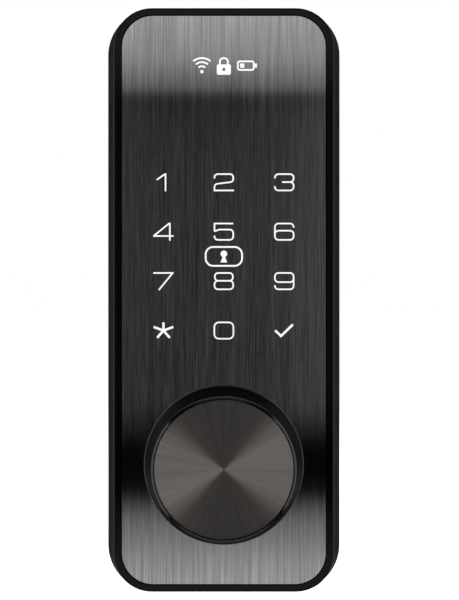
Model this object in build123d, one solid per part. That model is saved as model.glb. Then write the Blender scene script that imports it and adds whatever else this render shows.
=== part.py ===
from build123d import *
import math
import os

# Outside unit of a keypad smart lock: a tall flared housing with a glossy frame and a brushed touch panel,
# twelve lit keys, and a turn knob below them. The knob's shaft drives a flat tailpiece through a dog clutch,
# which a small gearmotor opens and closes with a rack, a fork and a sliding sleeve.
#
# Frame: millimetres. The origin is where the spindle axis meets the door's outer face. +X is to the right as
# seen from outside, +Y goes into the door and +Z is up. A "depth" is a distance out from the door, so depth 5
# is the plane y = -5. Outlines are drawn in X and Z.

# ---------------------------------------------------------------- body outline
BODY_WIDTH = 70.0  # at the rear rim
BODY_HEIGHT = 176.0
BODY_CORNER = 14.0
SPINDLE_UP = 40.0  # spindle axis above the rear rim's lowest edge
FLARE = 2.65  # how much each side grows from the front edge to the rear rim
WALL = 2.4
REAR_SHADOW_GAP = 0.6  # between the rear rim and the door

# ---------------------------------------------------------------- layers, from the door outwards
GASKET_THICK = 1.6
GASKET_WIDTH = 2.6
GASKET_MARGIN = 0.4  # from the back plate's edge
PLATE_THICK = 1.5
PLATE_GAP = 0.25  # between the plate's edge and the housing
REAR_ROOM = 11.5  # free depth between back plate and deck
DECK_THICK = 2.0
KEY_STANDOFF = 1.0
KEY_BOARD_THICK = 1.2
BAFFLE_THICK = 2.2
GUIDE_THICK = 1.2
PANEL_THICK = 1.5
RIM_PROUD = 0.3  # the frame stands this far in front of the panel
FRAME_DEPTH = 3.0  # visible depth of the glossy frame

# ---------------------------------------------------------------- frame and panel
PANEL_SIDE_MARGIN = 2.5  # from the housing's front outline to the panel, at the sides
PANEL_END_MARGIN = 2.4  # the same, at top and bottom
PANEL_CORNER = 9.2
PANEL_GAP = 0.15
SEAM_STEP = 0.3  # the frame is this much smaller than the housing all round
HOUSING_EDGE = 0.25  # chamfer of the housing's front edge, at the seam
FRAME_EDGE = 0.45  # rounding of the frame's front edge
LEDGE_WIDTH = 1.5
SKIRT_LENGTH = 2.2
SKIRT_CLEARANCE = 0.15
SEAL_THICK = 0.3
SEAL_MARGIN = 0.1
PANEL_BEVEL = 0.18
BOSS_WEB = 4.0  # width of the webs between the frame's skirt and its screw bosses
WEB_GAP = 0.6  # from a web's end to the housing's wall

# ---------------------------------------------------------------- keypad
KEY_PITCH_X = 17.6
KEY_PITCH_Z = 14.4
KEY_MID_UP = 60.7  # centre of the key field above the spindle
GLYPH_WIDTH = 5.9
GLYPH_HEIGHT = 5.2
GLYPH_STROKE = 0.44
GLYPH_CURVE = 1.05  # centreline radius of the numerals' corners
LEGEND_DEEP = 0.4
STATUS_UP = 116.3
STATUS_PITCH = 6.4
WELL_WIDTH = 9.0
WELL_HEIGHT = 6.4
SYMBOL_WELL_HEIGHT = 5.2
KEY_BOARD_SIDE = 7.0  # from the body's side
KEY_BOARD_LOW = 29.0
KEY_BOARD_HIGH = 121.5
BAFFLE_MARGIN = 5.0  # the baffle and light guide are this much smaller than the board at each side
BAFFLE_END_MARGIN = 2.5
LED_WIDTH, LED_HEIGHT, LED_THICK = 1.6, 0.8, 0.7
WELL_CORNER = 0.8
WELL_WALL = 0.8
KEY_BOARD_CORNER = 1.5
GUIDE_CORNER = 2.0
HEADER_WIDTH, HEADER_HEIGHT = 14.0, 4.0
HEADER_UP = 100.0
HEADER_CLEARANCE = 0.8

# ---------------------------------------------------------------- knob
KNOB_BASE_RADIUS = 22.9
KNOB_FACE_RADIUS = 20.53
KNOB_HEIGHT = 17.2  # from its base to its front rim
KNOB_LIFT = 0.8  # its base above the panel
KNOB_WALL = 2.2
KNOB_WEB = 2.7
KNOB_HUB_RADIUS = 7.5
KNOB_FOOT_BEVEL = 0.3
KNOB_SCREW_HEAD, KNOB_SCREW_SHANK = 3.9, 2.0
KNOB_SCREW_SUNK = 0.15
KNOB_SCREW_CONE = 1.9  # depth of the countersunk head
KNOB_SCREW_GAP = 0.2
KNOB_SCREW_GRIP = 8.0
KNOB_SCREW_DRILL = 1.0  # the drilled hole goes this much deeper
KNOB_SCREW_HEX = 1.45
KNOB_SCREW_HEX_DEEP = 1.5
DISC_RADIUS = 19.8
DISC_THICK = 1.25
DISC_GAP = 0.2  # groove round the disc
RIM_RING_DEEP = 1.1
RIM_RING_CHAMFER = 0.34
RIM_RING_STEP = 0.05
RIM_RING_LAND = 0.08  # width of the flat between the chamfer and the groove
DISC_EDGE = 0.12
DISC_BELOW_RIM = 0.25
SURROUND_RADIUS = 23.3
SURROUND_THICK = 0.4
SURROUND_INNER = 10.0
SURROUND_EDGE = 0.15

# ---------------------------------------------------------------- shaft, bush and clutch
SHAFT_RADIUS = 5.0
RUNNING_CLEARANCE = 0.05
SHAFT_FLAT_CUT = 0.65  # how deep the knob's drive flat is cut
DRIVER_FLAT_CUT = 1.0  # how deep each of the driver's two flats is cut
FLAT_GAP = 0.03
SHAFT_BEVEL = 0.4
WASHER_GAP = 0.3  # round the shaft, inside the washer and the seal
BUSH_WALL = 2.0
BUSH_FLANGE = 9.0
BUSH_FLANGE_THICK = 0.8
BUSH_SUNK = 0.2  # how far the boss's end lies below the panel's face
BOSS_GAP = 0.2  # between the boss and the panel's hole
HUB_WALL = 4.0  # of the housing's boss round the bush
SEAL_RING_WALL = 3.2
SEAL_ROOM = 1.7  # between the bush's flange and the knob's hub
SEAL_GAP = 0.3
DOG_INSET = 0.2
DOG_CORNER_GAP = 0.65  # between the hexagon's corners and the dogs
DOG_HEIGHT = 1.5
DOG_COUNT = 4
DOG_ANGLE = 38.0
DRIVER_THICK = 2.3
THRUST_THICK = 0.5
THRUST_RADIUS = 8.5
THRUST_PLAY = 0.2
SHAFT_TAIL = 0.45  # the shaft's end beyond the circlip
HUB_GAP = 0.3  # between the shaft's end and the spindle hub
CIRCLIP_THICK = 0.6
CIRCLIP_GROOVE_CUT = 0.8  # how deep its groove is cut
CIRCLIP_PROUD = 1.3  # how far it stands out of the shaft
CIRCLIP_MOUTH = 3.0
CIRCLIP_PLAY = 0.03
SLEEVE_TRAVEL = 2.0
END_CLEARANCE = 0.5  # between the withdrawn sleeve and the back plate
DOG_CLEARANCE = 0.1  # between a dog's tip and the face that it enters
GROOVE_WALL = 1.55  # from the hexagon's corners to the groove's floor
GROOVE_DEEP = 1.6
GROOVE_WIDTH = 1.8
HEX_FLATS = 11.0
HEX_CLEARANCE = 0.15
FORK_THICK = 1.5
FORK_RADIUS = 12.0
FORK_CLEARANCE = 0.15
FORK_EAR_WALL = 1.4
FORK_ARM = 3.0
GUIDE_PIN_RADIUS = 1.5
GUIDE_PIN_X = -10.5
GUIDE_PIN_Z = -15.0

# ---------------------------------------------------------------- rack, pinion and gearmotor
GEAR_MODULE = 0.6
PINION_TEETH = 12
PRESSURE_ANGLE = 20.0
BACKLASH = 0.07  # taken off each flank
RACK_WIDTH = 3.0
RACK_BASE = 2.0
RACK_SINK = 0.1  # how far the rack's back runs into the fork
RACK_ADDENDUM = 0.40  # stub teeth, so that a small pinion needs no undercut
GEAR_DEDENDUM = 0.75
RACK_END_TRIM = 0.1
PINION_ROOT_CLEARANCE = 0.25
FLANK_STEPS = 6
MOTOR_SHAFT_RADIUS = 1.5
GEARBOX_LENGTH = 9.0
MOTOR_LENGTH = 24.0
MOTOR_HEIGHT = 12.0
MOTOR_THICK = 10.0
MOTOR_GAP = 0.2  # between motor and deck, and between motor and strap
PINION_TO_MOTOR = 0.7
GEARBOX_BEVEL = 0.5
MOTOR_NOSE_RADIUS, MOTOR_NOSE = 2.5, 0.8
TERMINAL_LENGTH, TERMINAL_WIDTH, TERMINAL_THICK = 1.5, 1.6, 0.5
TERMINAL_Z = 4.0  # from the motor's axis
STRAP_THICK = 0.6
STRAP_WIDTH = 6.0
STRAP_FOOT = 5.0
STRAP_SETBACK = 2.0  # from the gearbox to the strap
FLEX_WIDTH = 1.6
FLEX_THICK = 0.2
FLEX_START_X = 12.5
FLEX_START_Z = 20.4
FLEX_PLUG_WIDTH, FLEX_PLUG_HEIGHT = 3.0, 3.6

# ---------------------------------------------------------------- spindle and mounting
POST_SPACING = 38.1
POST_RADIUS = 4.0
POST_REACH = 12.0  # how far the posts stand into the door
POST_THREAD_RADIUS = 2.1  # M5 core
POST_THREAD_DEEP = 16.0
POST_FLANGE_RADIUS = 5.5
POST_FLANGE_THICK = 1.9
POST_BEVEL = 0.5
POST_NOSE = 1.2  # the post's front end inside the housing boss
SPINDLE_JOURNAL = 5.0
SPINDLE_BUSH_WALL = 1.6
TAIL_WIDTH = 8.0
TAIL_THICK = 2.0
TAIL_REACH = 62.0
TAIL_CLEARANCE = 0.05
TAIL_PIN_RADIUS = 0.75
TAIL_PIN_BACK = 3.0  # from the hub's front end
TAIL_TIP = 1.2
HUB_END_WALL = 1.5
HUB_END_GAP = 0.1
SCORE_SIZE = 0.5
SCORE_COUNT = 6
SCORE_PITCH = 6.0
SCORE_FIRST = 8.0  # from the tip
SPINDLE_FLANGE = 1.8
SPINDLE_FLANGE_THICK = 1.0
SPINDLE_END = 0.3  # depth of the journal's inner end
CABLE_WIDTH = 20.0
CABLE_HEIGHT = 10.0
CABLE_UP = 19.0
CABLE_CORNER = 1.5

# ---------------------------------------------------------------- boards and fasteners
MAIN_BOARD_SIDE = 14.5  # from the body's side
MAIN_BOARD_LOW = 12.5
MAIN_BOARD_HIGH = 121.0
MAIN_BOARD_THICK = 1.2
MAIN_STANDOFF = 3.4
MAIN_BOARD_CORNER = 2.0
CHIPS = (  # x, z, width, height and thickness of each
    (-8.0, 72.0, 10.0, 10.0, 1.0),
    (9.0, 76.0, 6.0, 6.0, 0.9),
    (-12.0, 52.0, 5.0, 4.0, 1.2),
    (-4.0, 52.0, 5.0, 4.0, 1.2),
    (-13.0, 90.0, 4.0, 3.0, 1.0),
    (-7.0, 90.0, 3.0, 1.6, 0.8),
    (-1.0, 90.0, 3.0, 1.6, 0.8),
)
CAPACITOR_RADIUS, CAPACITOR_TALL = 2.5, 5.0
CAPACITORS = ((-12.0, 36.0), (-5.5, 36.0))
RADIO_X, RADIO_UP = 2.0, 110.0
RADIO_WIDTH, RADIO_HEIGHT, RADIO_BOARD = 18.0, 15.0, 0.8
RADIO_CAN_INSET, RADIO_CAN_TALL = 1.5, 2.2
BUZZER_X, BUZZER_UP = 11.0, 45.0
BUZZER_RADIUS, BUZZER_TALL = 6.0, 5.0
BUZZER_HOLE = 1.0
CAN_EDGE = 0.4
SOCKET_PLATE_GAP = 0.9  # from the harness socket's mouth to the back plate
HARNESS_WIDTH, HARNESS_HEIGHT, HARNESS_WALL = 16.0, 6.5, 0.8
HARNESS_FLOOR = 1.5
HARNESS_PINS, HARNESS_PIN, HARNESS_PITCH = 8, 0.6, 1.6
HARNESS_PIN_SUNK = 1.2
SMALL_SCREW = 1.0  # M2 shank radius
SMALL_HEAD = 1.9
SMALL_HEAD_HIGH = 1.1
BODY_SCREW = 1.25  # M2.5 shank radius
BODY_HEAD = 2.3
BODY_HEAD_HIGH = 1.2
BOSS_RADIUS = 3.0
FRAME_BOSS_RADIUS = 2.6
SMALL_BOSS_WALL = 1.2
SCREW_HOLE_GAP = 0.1
BLIND_SKIN = 0.4  # left below a blind screw hole
PLATE_SCREW_LENGTH = 8.0
FRAME_SCREW_LENGTH = 4.6
KEY_SCREW_GRIP = 1.2  # how far each screw goes into what holds it
MAIN_SCREW_GRIP = 1.0
STRAP_SCREW_GRIP = 1.4
KEY_SCREW_SIDE, KEY_SCREW_END = 2.2, 3.0  # from the keypad board's edges
MAIN_SCREW_SIDE, MAIN_SCREW_END = 3.5, 4.0  # from the main board's edges
PLATE_SCREW_SIDE = 11.0  # from the body's side
PLATE_SCREW_END = 10.0  # from the body's top and bottom
PLATE_SCREW_MID_UP = 50.0
FRAME_SCREW_X = 10.0
FRAME_SCREW_MID_SIDE = 10.5  # from the body's side
FRAME_SCREW_MID_UP = 24.0

# ---------------------------------------------------------------- power port, at the bottom edge
PORT_DEPTH = 10.4  # centre of the port, out from the door
PORT_WIDTH = 8.6
PORT_HEIGHT = 3.6
SOCKET_LENGTH = 5.6
SOCKET_WALL = 0.35
FLAP_LENGTH = 12.4
FLAP_WIDTH = 6.0
FLAP_THICK = 1.8
FLAP_GAP = 0.2
FLAP_PIN_RADIUS = 0.4
PORT_BLOCK = 4.4  # thickness of the wall round the port
PORT_WALL = 1.5
PORT_BOARD_THICK = 1.0
PORT_BOARD_WIDTH, PORT_BOARD_HEIGHT = 14.0, 6.0
POCKET_CORNER = 0.8
POCKET_FLOOR_GAP = 0.1
FLAP_SWING_GAP = 0.3
SOCKET_GAP = 0.3  # all round the socket
SOCKET_LIFT = 1.0  # of its mouth above the flared wall's foot
SOCKET_CORNER = 0.6
SOCKET_FLOOR = 0.8
TONGUE_WIDTH, TONGUE_THICK = 5.0, 0.6
TONGUE_SUNK = 0.8
PORT_BOARD_GAP = 0.2
FLAP_EDGE = 0.5
FLAP_PIN_END = 1.5  # how far the pin goes into the wall at each end

# ---------------------------------------------------------------- depths that follow from the layers
BODY_MID = BODY_HEIGHT / 2 - SPINDLE_UP
PLATE_BACK = GASKET_THICK
PLATE_FRONT = PLATE_BACK + PLATE_THICK
DECK_BACK = PLATE_FRONT + REAR_ROOM
DECK_FRONT = DECK_BACK + DECK_THICK
KEY_BOARD_BACK = DECK_FRONT + KEY_STANDOFF
KEY_BOARD_FRONT = KEY_BOARD_BACK + KEY_BOARD_THICK
GUIDE_BACK = KEY_BOARD_FRONT + BAFFLE_THICK
PANEL_BACK = GUIDE_BACK + GUIDE_THICK
PANEL_FACE = PANEL_BACK + PANEL_THICK
FRAME_FACE = PANEL_FACE + RIM_PROUD
HOUSING_FRONT = FRAME_FACE - FRAME_DEPTH
LEDGE_FACE = PANEL_BACK - SEAL_THICK
KNOB_BASE = PANEL_FACE + KNOB_LIFT
KNOB_RIM = KNOB_BASE + KNOB_HEIGHT
RING_BACK = KNOB_RIM - RIM_RING_DEEP
DISC_FACE = KNOB_RIM - DISC_BELOW_RIM
DISC_BACK = DISC_FACE - DISC_THICK
WEB_BACK = DISC_BACK - KNOB_WEB
RING_INNER = DISC_RADIUS + DISC_GAP

SHAFT_FLAT = SHAFT_RADIUS - SHAFT_FLAT_CUT
DRIVER_FLAT = SHAFT_RADIUS - DRIVER_FLAT_CUT
CIRCLIP_GROOVE = SHAFT_RADIUS - CIRCLIP_GROOVE_CUT
CIRCLIP_RADIUS = SHAFT_RADIUS + CIRCLIP_PROUD
BUSH_RADIUS = SHAFT_RADIUS + RUNNING_CLEARANCE + BUSH_WALL
HUB_RADIUS = BUSH_RADIUS + HUB_WALL
BUSH_SEAT = PANEL_FACE - BUSH_SUNK
FLANGE_FACE = BUSH_SEAT + BUSH_FLANGE_THICK
KNOB_HUB_BACK = FLANGE_FACE + SEAL_ROOM
SHAFT_SEAL_FRONT = KNOB_HUB_BACK - SEAL_GAP

DRIVER_FRONT = DECK_BACK - THRUST_THICK - THRUST_PLAY
DRIVER_BACK = DRIVER_FRONT - DRIVER_THICK
CIRCLIP_FRONT = DRIVER_BACK - RUNNING_CLEARANCE
SHAFT_END = CIRCLIP_FRONT - CIRCLIP_THICK - SHAFT_TAIL
SLEEVE_FRONT = DRIVER_BACK - DOG_HEIGHT - DOG_CLEARANCE
SLEEVE_BACK = PLATE_FRONT + SLEEVE_TRAVEL + END_CLEARANCE
GROOVE_MID = (SLEEVE_BACK + SLEEVE_FRONT) / 2
HEX_FRONT = SHAFT_END - HUB_GAP
HEX_BACK = PLATE_FRONT + THRUST_PLAY
HEX_CORNER = HEX_FLATS / math.sqrt(3)
DOG_INNER = HEX_CORNER + DOG_CORNER_GAP
GROOVE_RADIUS = HEX_CORNER + GROOVE_WALL
DOG_RADIUS = GROOVE_RADIUS + GROOVE_DEEP
SPINDLE_BUSH_RADIUS = SPINDLE_JOURNAL + RUNNING_CLEARANCE + SPINDLE_BUSH_WALL
GUIDE_PIN_FRONT = DECK_FRONT - 2 * BLIND_SKIN

GEAR_PITCH = math.pi * GEAR_MODULE
PINION_RADIUS = GEAR_MODULE * PINION_TEETH / 2
RACK_ROOT_Z = RACK_SINK - FORK_RADIUS - RACK_BASE
PITCH_LINE_Z = RACK_ROOT_Z - GEAR_DEDENDUM
PINION_Z = PITCH_LINE_Z - PINION_RADIUS
MOTOR_FRONT = DECK_BACK - MOTOR_GAP
PINION_DEPTH = MOTOR_FRONT - MOTOR_THICK / 2
MOTOR_FACE_X = RACK_WIDTH / 2 + PINION_TO_MOTOR

MAIN_BOARD_FRONT = DECK_BACK - MAIN_STANDOFF
MAIN_BOARD_BACK = MAIN_BOARD_FRONT - MAIN_BOARD_THICK
KEY_BOARD_WIDTH = BODY_WIDTH - 2 * KEY_BOARD_SIDE
MAIN_BOARD_WIDTH = BODY_WIDTH - 2 * MAIN_BOARD_SIDE
BODY_BOTTOM = -SPINDLE_UP
BODY_TOP = BODY_HEIGHT - SPINDLE_UP


# ---------------------------------------------------------------- helpers
BOTTOM = (Align.CENTER, Align.CENTER, Align.MIN)
TOP = (Align.CENTER, Align.CENTER, Align.MAX)


def slab(sketch, low, high):
    """The sketch, drawn in X and Z, made solid between two depths."""
    return extrude(Plane.XZ.offset(low) * sketch, amount=high - low)


def disc(radius, low, high, x=0.0, z=0.0):
    """A round bar along Y between two depths."""
    return slab(Pos(x, z) * Circle(radius), low, high)


def bar(width, height, low, high, x=0.0, z=0.0):
    """A block between two depths, centred on x, z."""
    return slab(Pos(x, z) * Rectangle(width, height), low, high)


def turned(*profile):
    """A solid turned about the spindle axis, from its (radius, depth) corners."""
    face = make_face(Polyline(*[(radius, -depth) for radius, depth in profile], close=True))
    return revolve(face, Axis.Y)


def flare_at(depth):
    """How far the housing's outline has drawn in at this depth."""
    return FLARE * (depth - REAR_SHADOW_GAP) / (HOUSING_FRONT - REAR_SHADOW_GAP)


def outline(side_inset, end_inset=None, corner=None):
    """The body's rounded rectangle, drawn in from the rear rim's size."""
    end_inset = side_inset if end_inset is None else end_inset
    corner = BODY_CORNER - side_inset if corner is None else corner
    width = BODY_WIDTH - 2 * side_inset
    height = BODY_HEIGHT - 2 * end_inset
    return Pos(0, BODY_MID) * RectangleRounded(width, height, corner)


def tapered(low, high, inset=0.0):
    """The flared body between two depths, drawn in by inset."""
    sections = [Plane.XZ.offset(d) * outline(flare_at(d) + inset) for d in (low, high)]
    return loft(sections, ruled=True)


def panel_outline(inset=0.0):
    """The touch panel's outline, drawn in by inset."""
    return outline(
        FLARE + PANEL_SIDE_MARGIN + inset, FLARE + PANEL_END_MARGIN + inset, PANEL_CORNER - inset
    )


def mirrored(points):
    """The points with their mirror images across x = 0."""
    return [(side * x, z) for x, z in points for side in (-1, 1)]


def plate_screw_places():
    """Where the back plate is screwed to the housing."""
    side = BODY_WIDTH / 2 - PLATE_SCREW_SIDE
    heights = (BODY_BOTTOM + PLATE_SCREW_END, PLATE_SCREW_MID_UP, BODY_TOP - PLATE_SCREW_END)
    return mirrored([(side, z) for z in heights])


def frame_screw_places():
    """Where the glossy frame is screwed to the deck, each with the direction of its wall."""
    ends = [(BODY_BOTTOM + PLATE_SCREW_END, -1), (BODY_TOP - PLATE_SCREW_END, 1)]
    places = [(side * FRAME_SCREW_X, z, 0, way) for z, way in ends for side in (-1, 1)]
    middle = BODY_WIDTH / 2 - FRAME_SCREW_MID_SIDE
    return places + [(side * middle, FRAME_SCREW_MID_UP, side, 0) for side in (-1, 1)]


def post_places():
    """Where the two mounting posts stand, on either side of the spindle."""
    return mirrored([(POST_SPACING / 2, 0)])


def key_board_screw_places():
    """Where the keypad board is screwed to the deck."""
    side = KEY_BOARD_WIDTH / 2 - KEY_SCREW_SIDE
    middle = (KEY_BOARD_LOW + KEY_BOARD_HIGH) / 2
    ends = (KEY_BOARD_LOW + KEY_SCREW_END, KEY_BOARD_HIGH - KEY_SCREW_END)
    return mirrored([(side, z) for z in (ends[0], middle, ends[1])])


def main_board_screw_places():
    """Where the main board is screwed to the deck's standoffs."""
    side = MAIN_BOARD_WIDTH / 2 - MAIN_SCREW_SIDE
    return mirrored([(side, MAIN_BOARD_LOW + MAIN_SCREW_END), (side, MAIN_BOARD_HIGH - MAIN_SCREW_END)])


def strap_screw_places():
    """Where the motor strap's two feet are screwed down."""
    x = MOTOR_FACE_X + GEARBOX_LENGTH + STRAP_WIDTH / 2 + STRAP_SETBACK
    reach = MOTOR_HEIGHT / 2 + STRAP_THICK + STRAP_FOOT / 2 + MOTOR_GAP
    return [(x, PINION_Z - reach), (x, PINION_Z + reach)]


def screw(x, z, seat, length, shank, head, head_high, outward):
    """A cross-recess pan screw along Y. Its head is on the seat, and faces the door if outward is -1."""
    turn = Plane(origin=(x, -seat, z), x_dir=(1, 0, 0), z_dir=(0, -outward, 0))
    pan = Cylinder(head, head_high, align=BOTTOM)
    pan = fillet(pan.edges().group_by(Axis.Z)[-1], 0.35 * head_high)
    body = pan + Pos(0, 0, -length) * Cylinder(shank, length, align=BOTTOM)
    slot = Box(1.25 * head, 0.3 * head, 0.55 * head_high, align=TOP)
    for angle in (0, 90):
        body -= Pos(0, 0, head_high) * Rot(0, 0, angle) * slot
    return turn * body


# ---------------------------------------------------------------- power port, on the sloping lower wall
SLOPE = math.atan2(FLARE, HOUSING_FRONT - REAR_SHADOW_GAP)
PORT_WALL_Z = BODY_BOTTOM + flare_at(PORT_DEPTH)
PORT_NORMAL = (0, -math.sin(SLOPE), -math.cos(SLOPE))
FLAP_PIVOT_X = -FLAP_LENGTH / 2
FLAP_KNUCKLE = FLAP_THICK / 2


def port_plane():
    """A plane on the lower wall's outer face at the port, facing out of the body."""
    return Plane(origin=(0, -PORT_DEPTH, PORT_WALL_Z), x_dir=(1, 0, 0), z_dir=PORT_NORMAL)


def port_pocket():
    """The recess that the flap lies in, longer at its hinge end so that the flap can swing."""
    free_side = FLAP_LENGTH / 2 + 2 * FLAP_GAP
    hinge_side = FLAP_LENGTH / 2 + 2 * FLAP_KNUCKLE + FLAP_SWING_GAP
    size = (hinge_side + free_side, FLAP_WIDTH + 2 * FLAP_GAP)
    shape = Pos((free_side - hinge_side) / 2, 0) * RectangleRounded(*size, POCKET_CORNER)
    return extrude(port_plane() * shape, amount=-(FLAP_THICK + POCKET_FLOOR_GAP))


def flap_pin_bar(radius, length):
    """A bar along the flap's hinge axis."""
    axis = Plane(
        origin=port_plane().from_local_coords((FLAP_PIVOT_X, 0, -FLAP_KNUCKLE)),
        x_dir=(1, 0, 0),
        z_dir=(0, math.cos(SLOPE), -math.sin(SLOPE)),
    )
    return axis * Cylinder(radius, length)


# ---------------------------------------------------------------- housing, frame and panel
def rear_housing():
    """The flared shell, open at both ends, with a deck across it that carries everything."""
    body = tapered(REAR_SHADOW_GAP, HOUSING_FRONT)
    body = chamfer(body.faces().sort_by(Axis.Y)[0].outer_wire().edges(), HOUSING_EDGE)
    body -= tapered(REAR_SHADOW_GAP, DECK_BACK, WALL)
    body -= tapered(DECK_FRONT, HOUSING_FRONT, WALL)
    body += disc(HUB_RADIUS, DECK_FRONT, BUSH_SEAT)
    body -= disc(BUSH_RADIUS, DECK_BACK, BUSH_SEAT)
    for x, z in plate_screw_places():
        body += disc(BOSS_RADIUS, PLATE_FRONT, DECK_BACK, x, z)
        body -= disc(BODY_SCREW, PLATE_FRONT, PLATE_BACK + PLATE_SCREW_LENGTH, x, z)
    for x, z in key_board_screw_places():
        body += disc(SMALL_SCREW + SMALL_BOSS_WALL, DECK_FRONT, KEY_BOARD_BACK, x, z)
        body -= disc(SMALL_SCREW, DECK_BACK + BLIND_SKIN, KEY_BOARD_BACK, x, z)
    for x, z in main_board_screw_places():
        body += disc(SMALL_SCREW + SMALL_BOSS_WALL, MAIN_BOARD_FRONT, DECK_BACK, x, z)
        body -= disc(SMALL_SCREW, MAIN_BOARD_FRONT, DECK_FRONT - BLIND_SKIN, x, z)
    for x, z in strap_screw_places():
        body -= disc(SMALL_SCREW, DECK_BACK, DECK_FRONT - BLIND_SKIN, x, z)
    for x, z, _, _ in frame_screw_places():
        body -= disc(BODY_SCREW, DECK_BACK, DECK_FRONT, x, z)
    for x, z in post_places():
        nose = PLATE_FRONT + POST_FLANGE_THICK
        body += disc(POST_FLANGE_RADIUS, nose, DECK_BACK, x, z)
        body -= disc(POST_RADIUS, nose, nose + POST_NOSE, x, z)
    body -= slab(header_outline(HEADER_CLEARANCE), DECK_BACK, DECK_FRONT)
    body -= disc(GUIDE_PIN_RADIUS, DECK_BACK, GUIDE_PIN_FRONT, GUIDE_PIN_X, GUIDE_PIN_Z)
    return rear_port(body)


def rear_port(body):
    """The housing with its thickened lower wall, the flap's recess and the port hole."""
    low = PORT_DEPTH - FLAP_WIDTH / 2 - PORT_WALL
    block = bar(PORT_WIDTH + 2 * WALL, PORT_BLOCK, low, DECK_BACK, 0, BODY_BOTTOM + FLARE + PORT_BLOCK / 2)
    body += block & tapered(REAR_SHADOW_GAP, DECK_BACK, WALL / 2)
    body -= port_pocket()
    hole = Rectangle(PORT_WIDTH, PORT_HEIGHT)
    body -= extrude(Plane.XY.offset(BODY_BOTTOM) * (Pos(0, -PORT_DEPTH) * hole), amount=2 * PORT_BLOCK)
    return body - flap_pin_bar(FLAP_PIN_RADIUS, FLAP_WIDTH + 2 * FLAP_PIN_END)


def front_bezel():
    """The glossy frame round the panel, with a ledge for the panel, a locating skirt and screw bosses."""
    shell = slab(outline(FLARE + SEAM_STEP), HOUSING_FRONT, FRAME_FACE)
    shell = fillet(shell.faces().sort_by(Axis.Y)[0].outer_wire().edges(), FRAME_EDGE)
    skirt_inset = FLARE + WALL + SKIRT_CLEARANCE
    shell += slab(outline(skirt_inset), HOUSING_FRONT - SKIRT_LENGTH, HOUSING_FRONT)
    shell -= slab(panel_outline(-PANEL_GAP), LEDGE_FACE, FRAME_FACE)
    shell -= slab(panel_outline(LEDGE_WIDTH), HOUSING_FRONT - SKIRT_LENGTH, FRAME_FACE)
    for x, z, way_x, way_z in frame_screw_places():
        inset = FLARE + WALL + WEB_GAP
        reach_x = BODY_WIDTH / 2 - inset - abs(x)
        reach_z = BODY_HEIGHT / 2 - inset - abs(z - BODY_MID)
        web = (reach_x, BOSS_WEB) if way_x else (BOSS_WEB, reach_z)
        middle = (x + way_x * web[0] / 2, z + way_z * web[1] / 2)
        shell += bar(*web, HOUSING_FRONT - SKIRT_LENGTH, LEDGE_FACE, *middle)
        shell += disc(FRAME_BOSS_RADIUS, DECK_FRONT, LEDGE_FACE, x, z)
        shell -= disc(BODY_SCREW, DECK_FRONT, DECK_BACK + FRAME_SCREW_LENGTH, x, z)
    return shell


def front_panel(legends):
    """The brushed touch panel, pocketed for the legends and open round the shaft's boss."""
    panel = slab(panel_outline(), PANEL_BACK, PANEL_FACE)
    panel = chamfer(panel.faces().sort_by(Axis.Y)[0].outer_wire().edges(), PANEL_BEVEL)
    panel -= disc(HUB_RADIUS + BOSS_GAP, PANEL_BACK, PANEL_FACE)
    for legend in legends:
        panel -= legend
    return panel


def panel_seal():
    """The adhesive seal between the frame's ledge and the panel."""
    return slab(panel_outline(SEAL_MARGIN) - panel_outline(LEDGE_WIDTH), LEDGE_FACE, PANEL_BACK)


# ---------------------------------------------------------------- legends
HALF_W = (GLYPH_WIDTH - GLYPH_STROKE) / 2
HALF_H = (GLYPH_HEIGHT - GLYPH_STROKE) / 2


def stroke(points, radius=0.0, width=GLYPH_STROKE):
    """A pen stroke through the points, with its corners rounded to radius."""
    if radius > 0 and len(points) > 2:
        return trace(FilletPolyline(*points, radius=radius), width)
    path = Polyline(*points) if len(points) > 2 else Line(*points)
    return trace(path, width)


def loop(width, height, radius, pen=GLYPH_STROKE):
    """A closed rounded loop, measured on its centreline."""
    outer = RectangleRounded(width + pen, height + pen, radius + pen / 2)
    return outer - RectangleRounded(width - pen, height - pen, radius - pen / 2)


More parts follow.
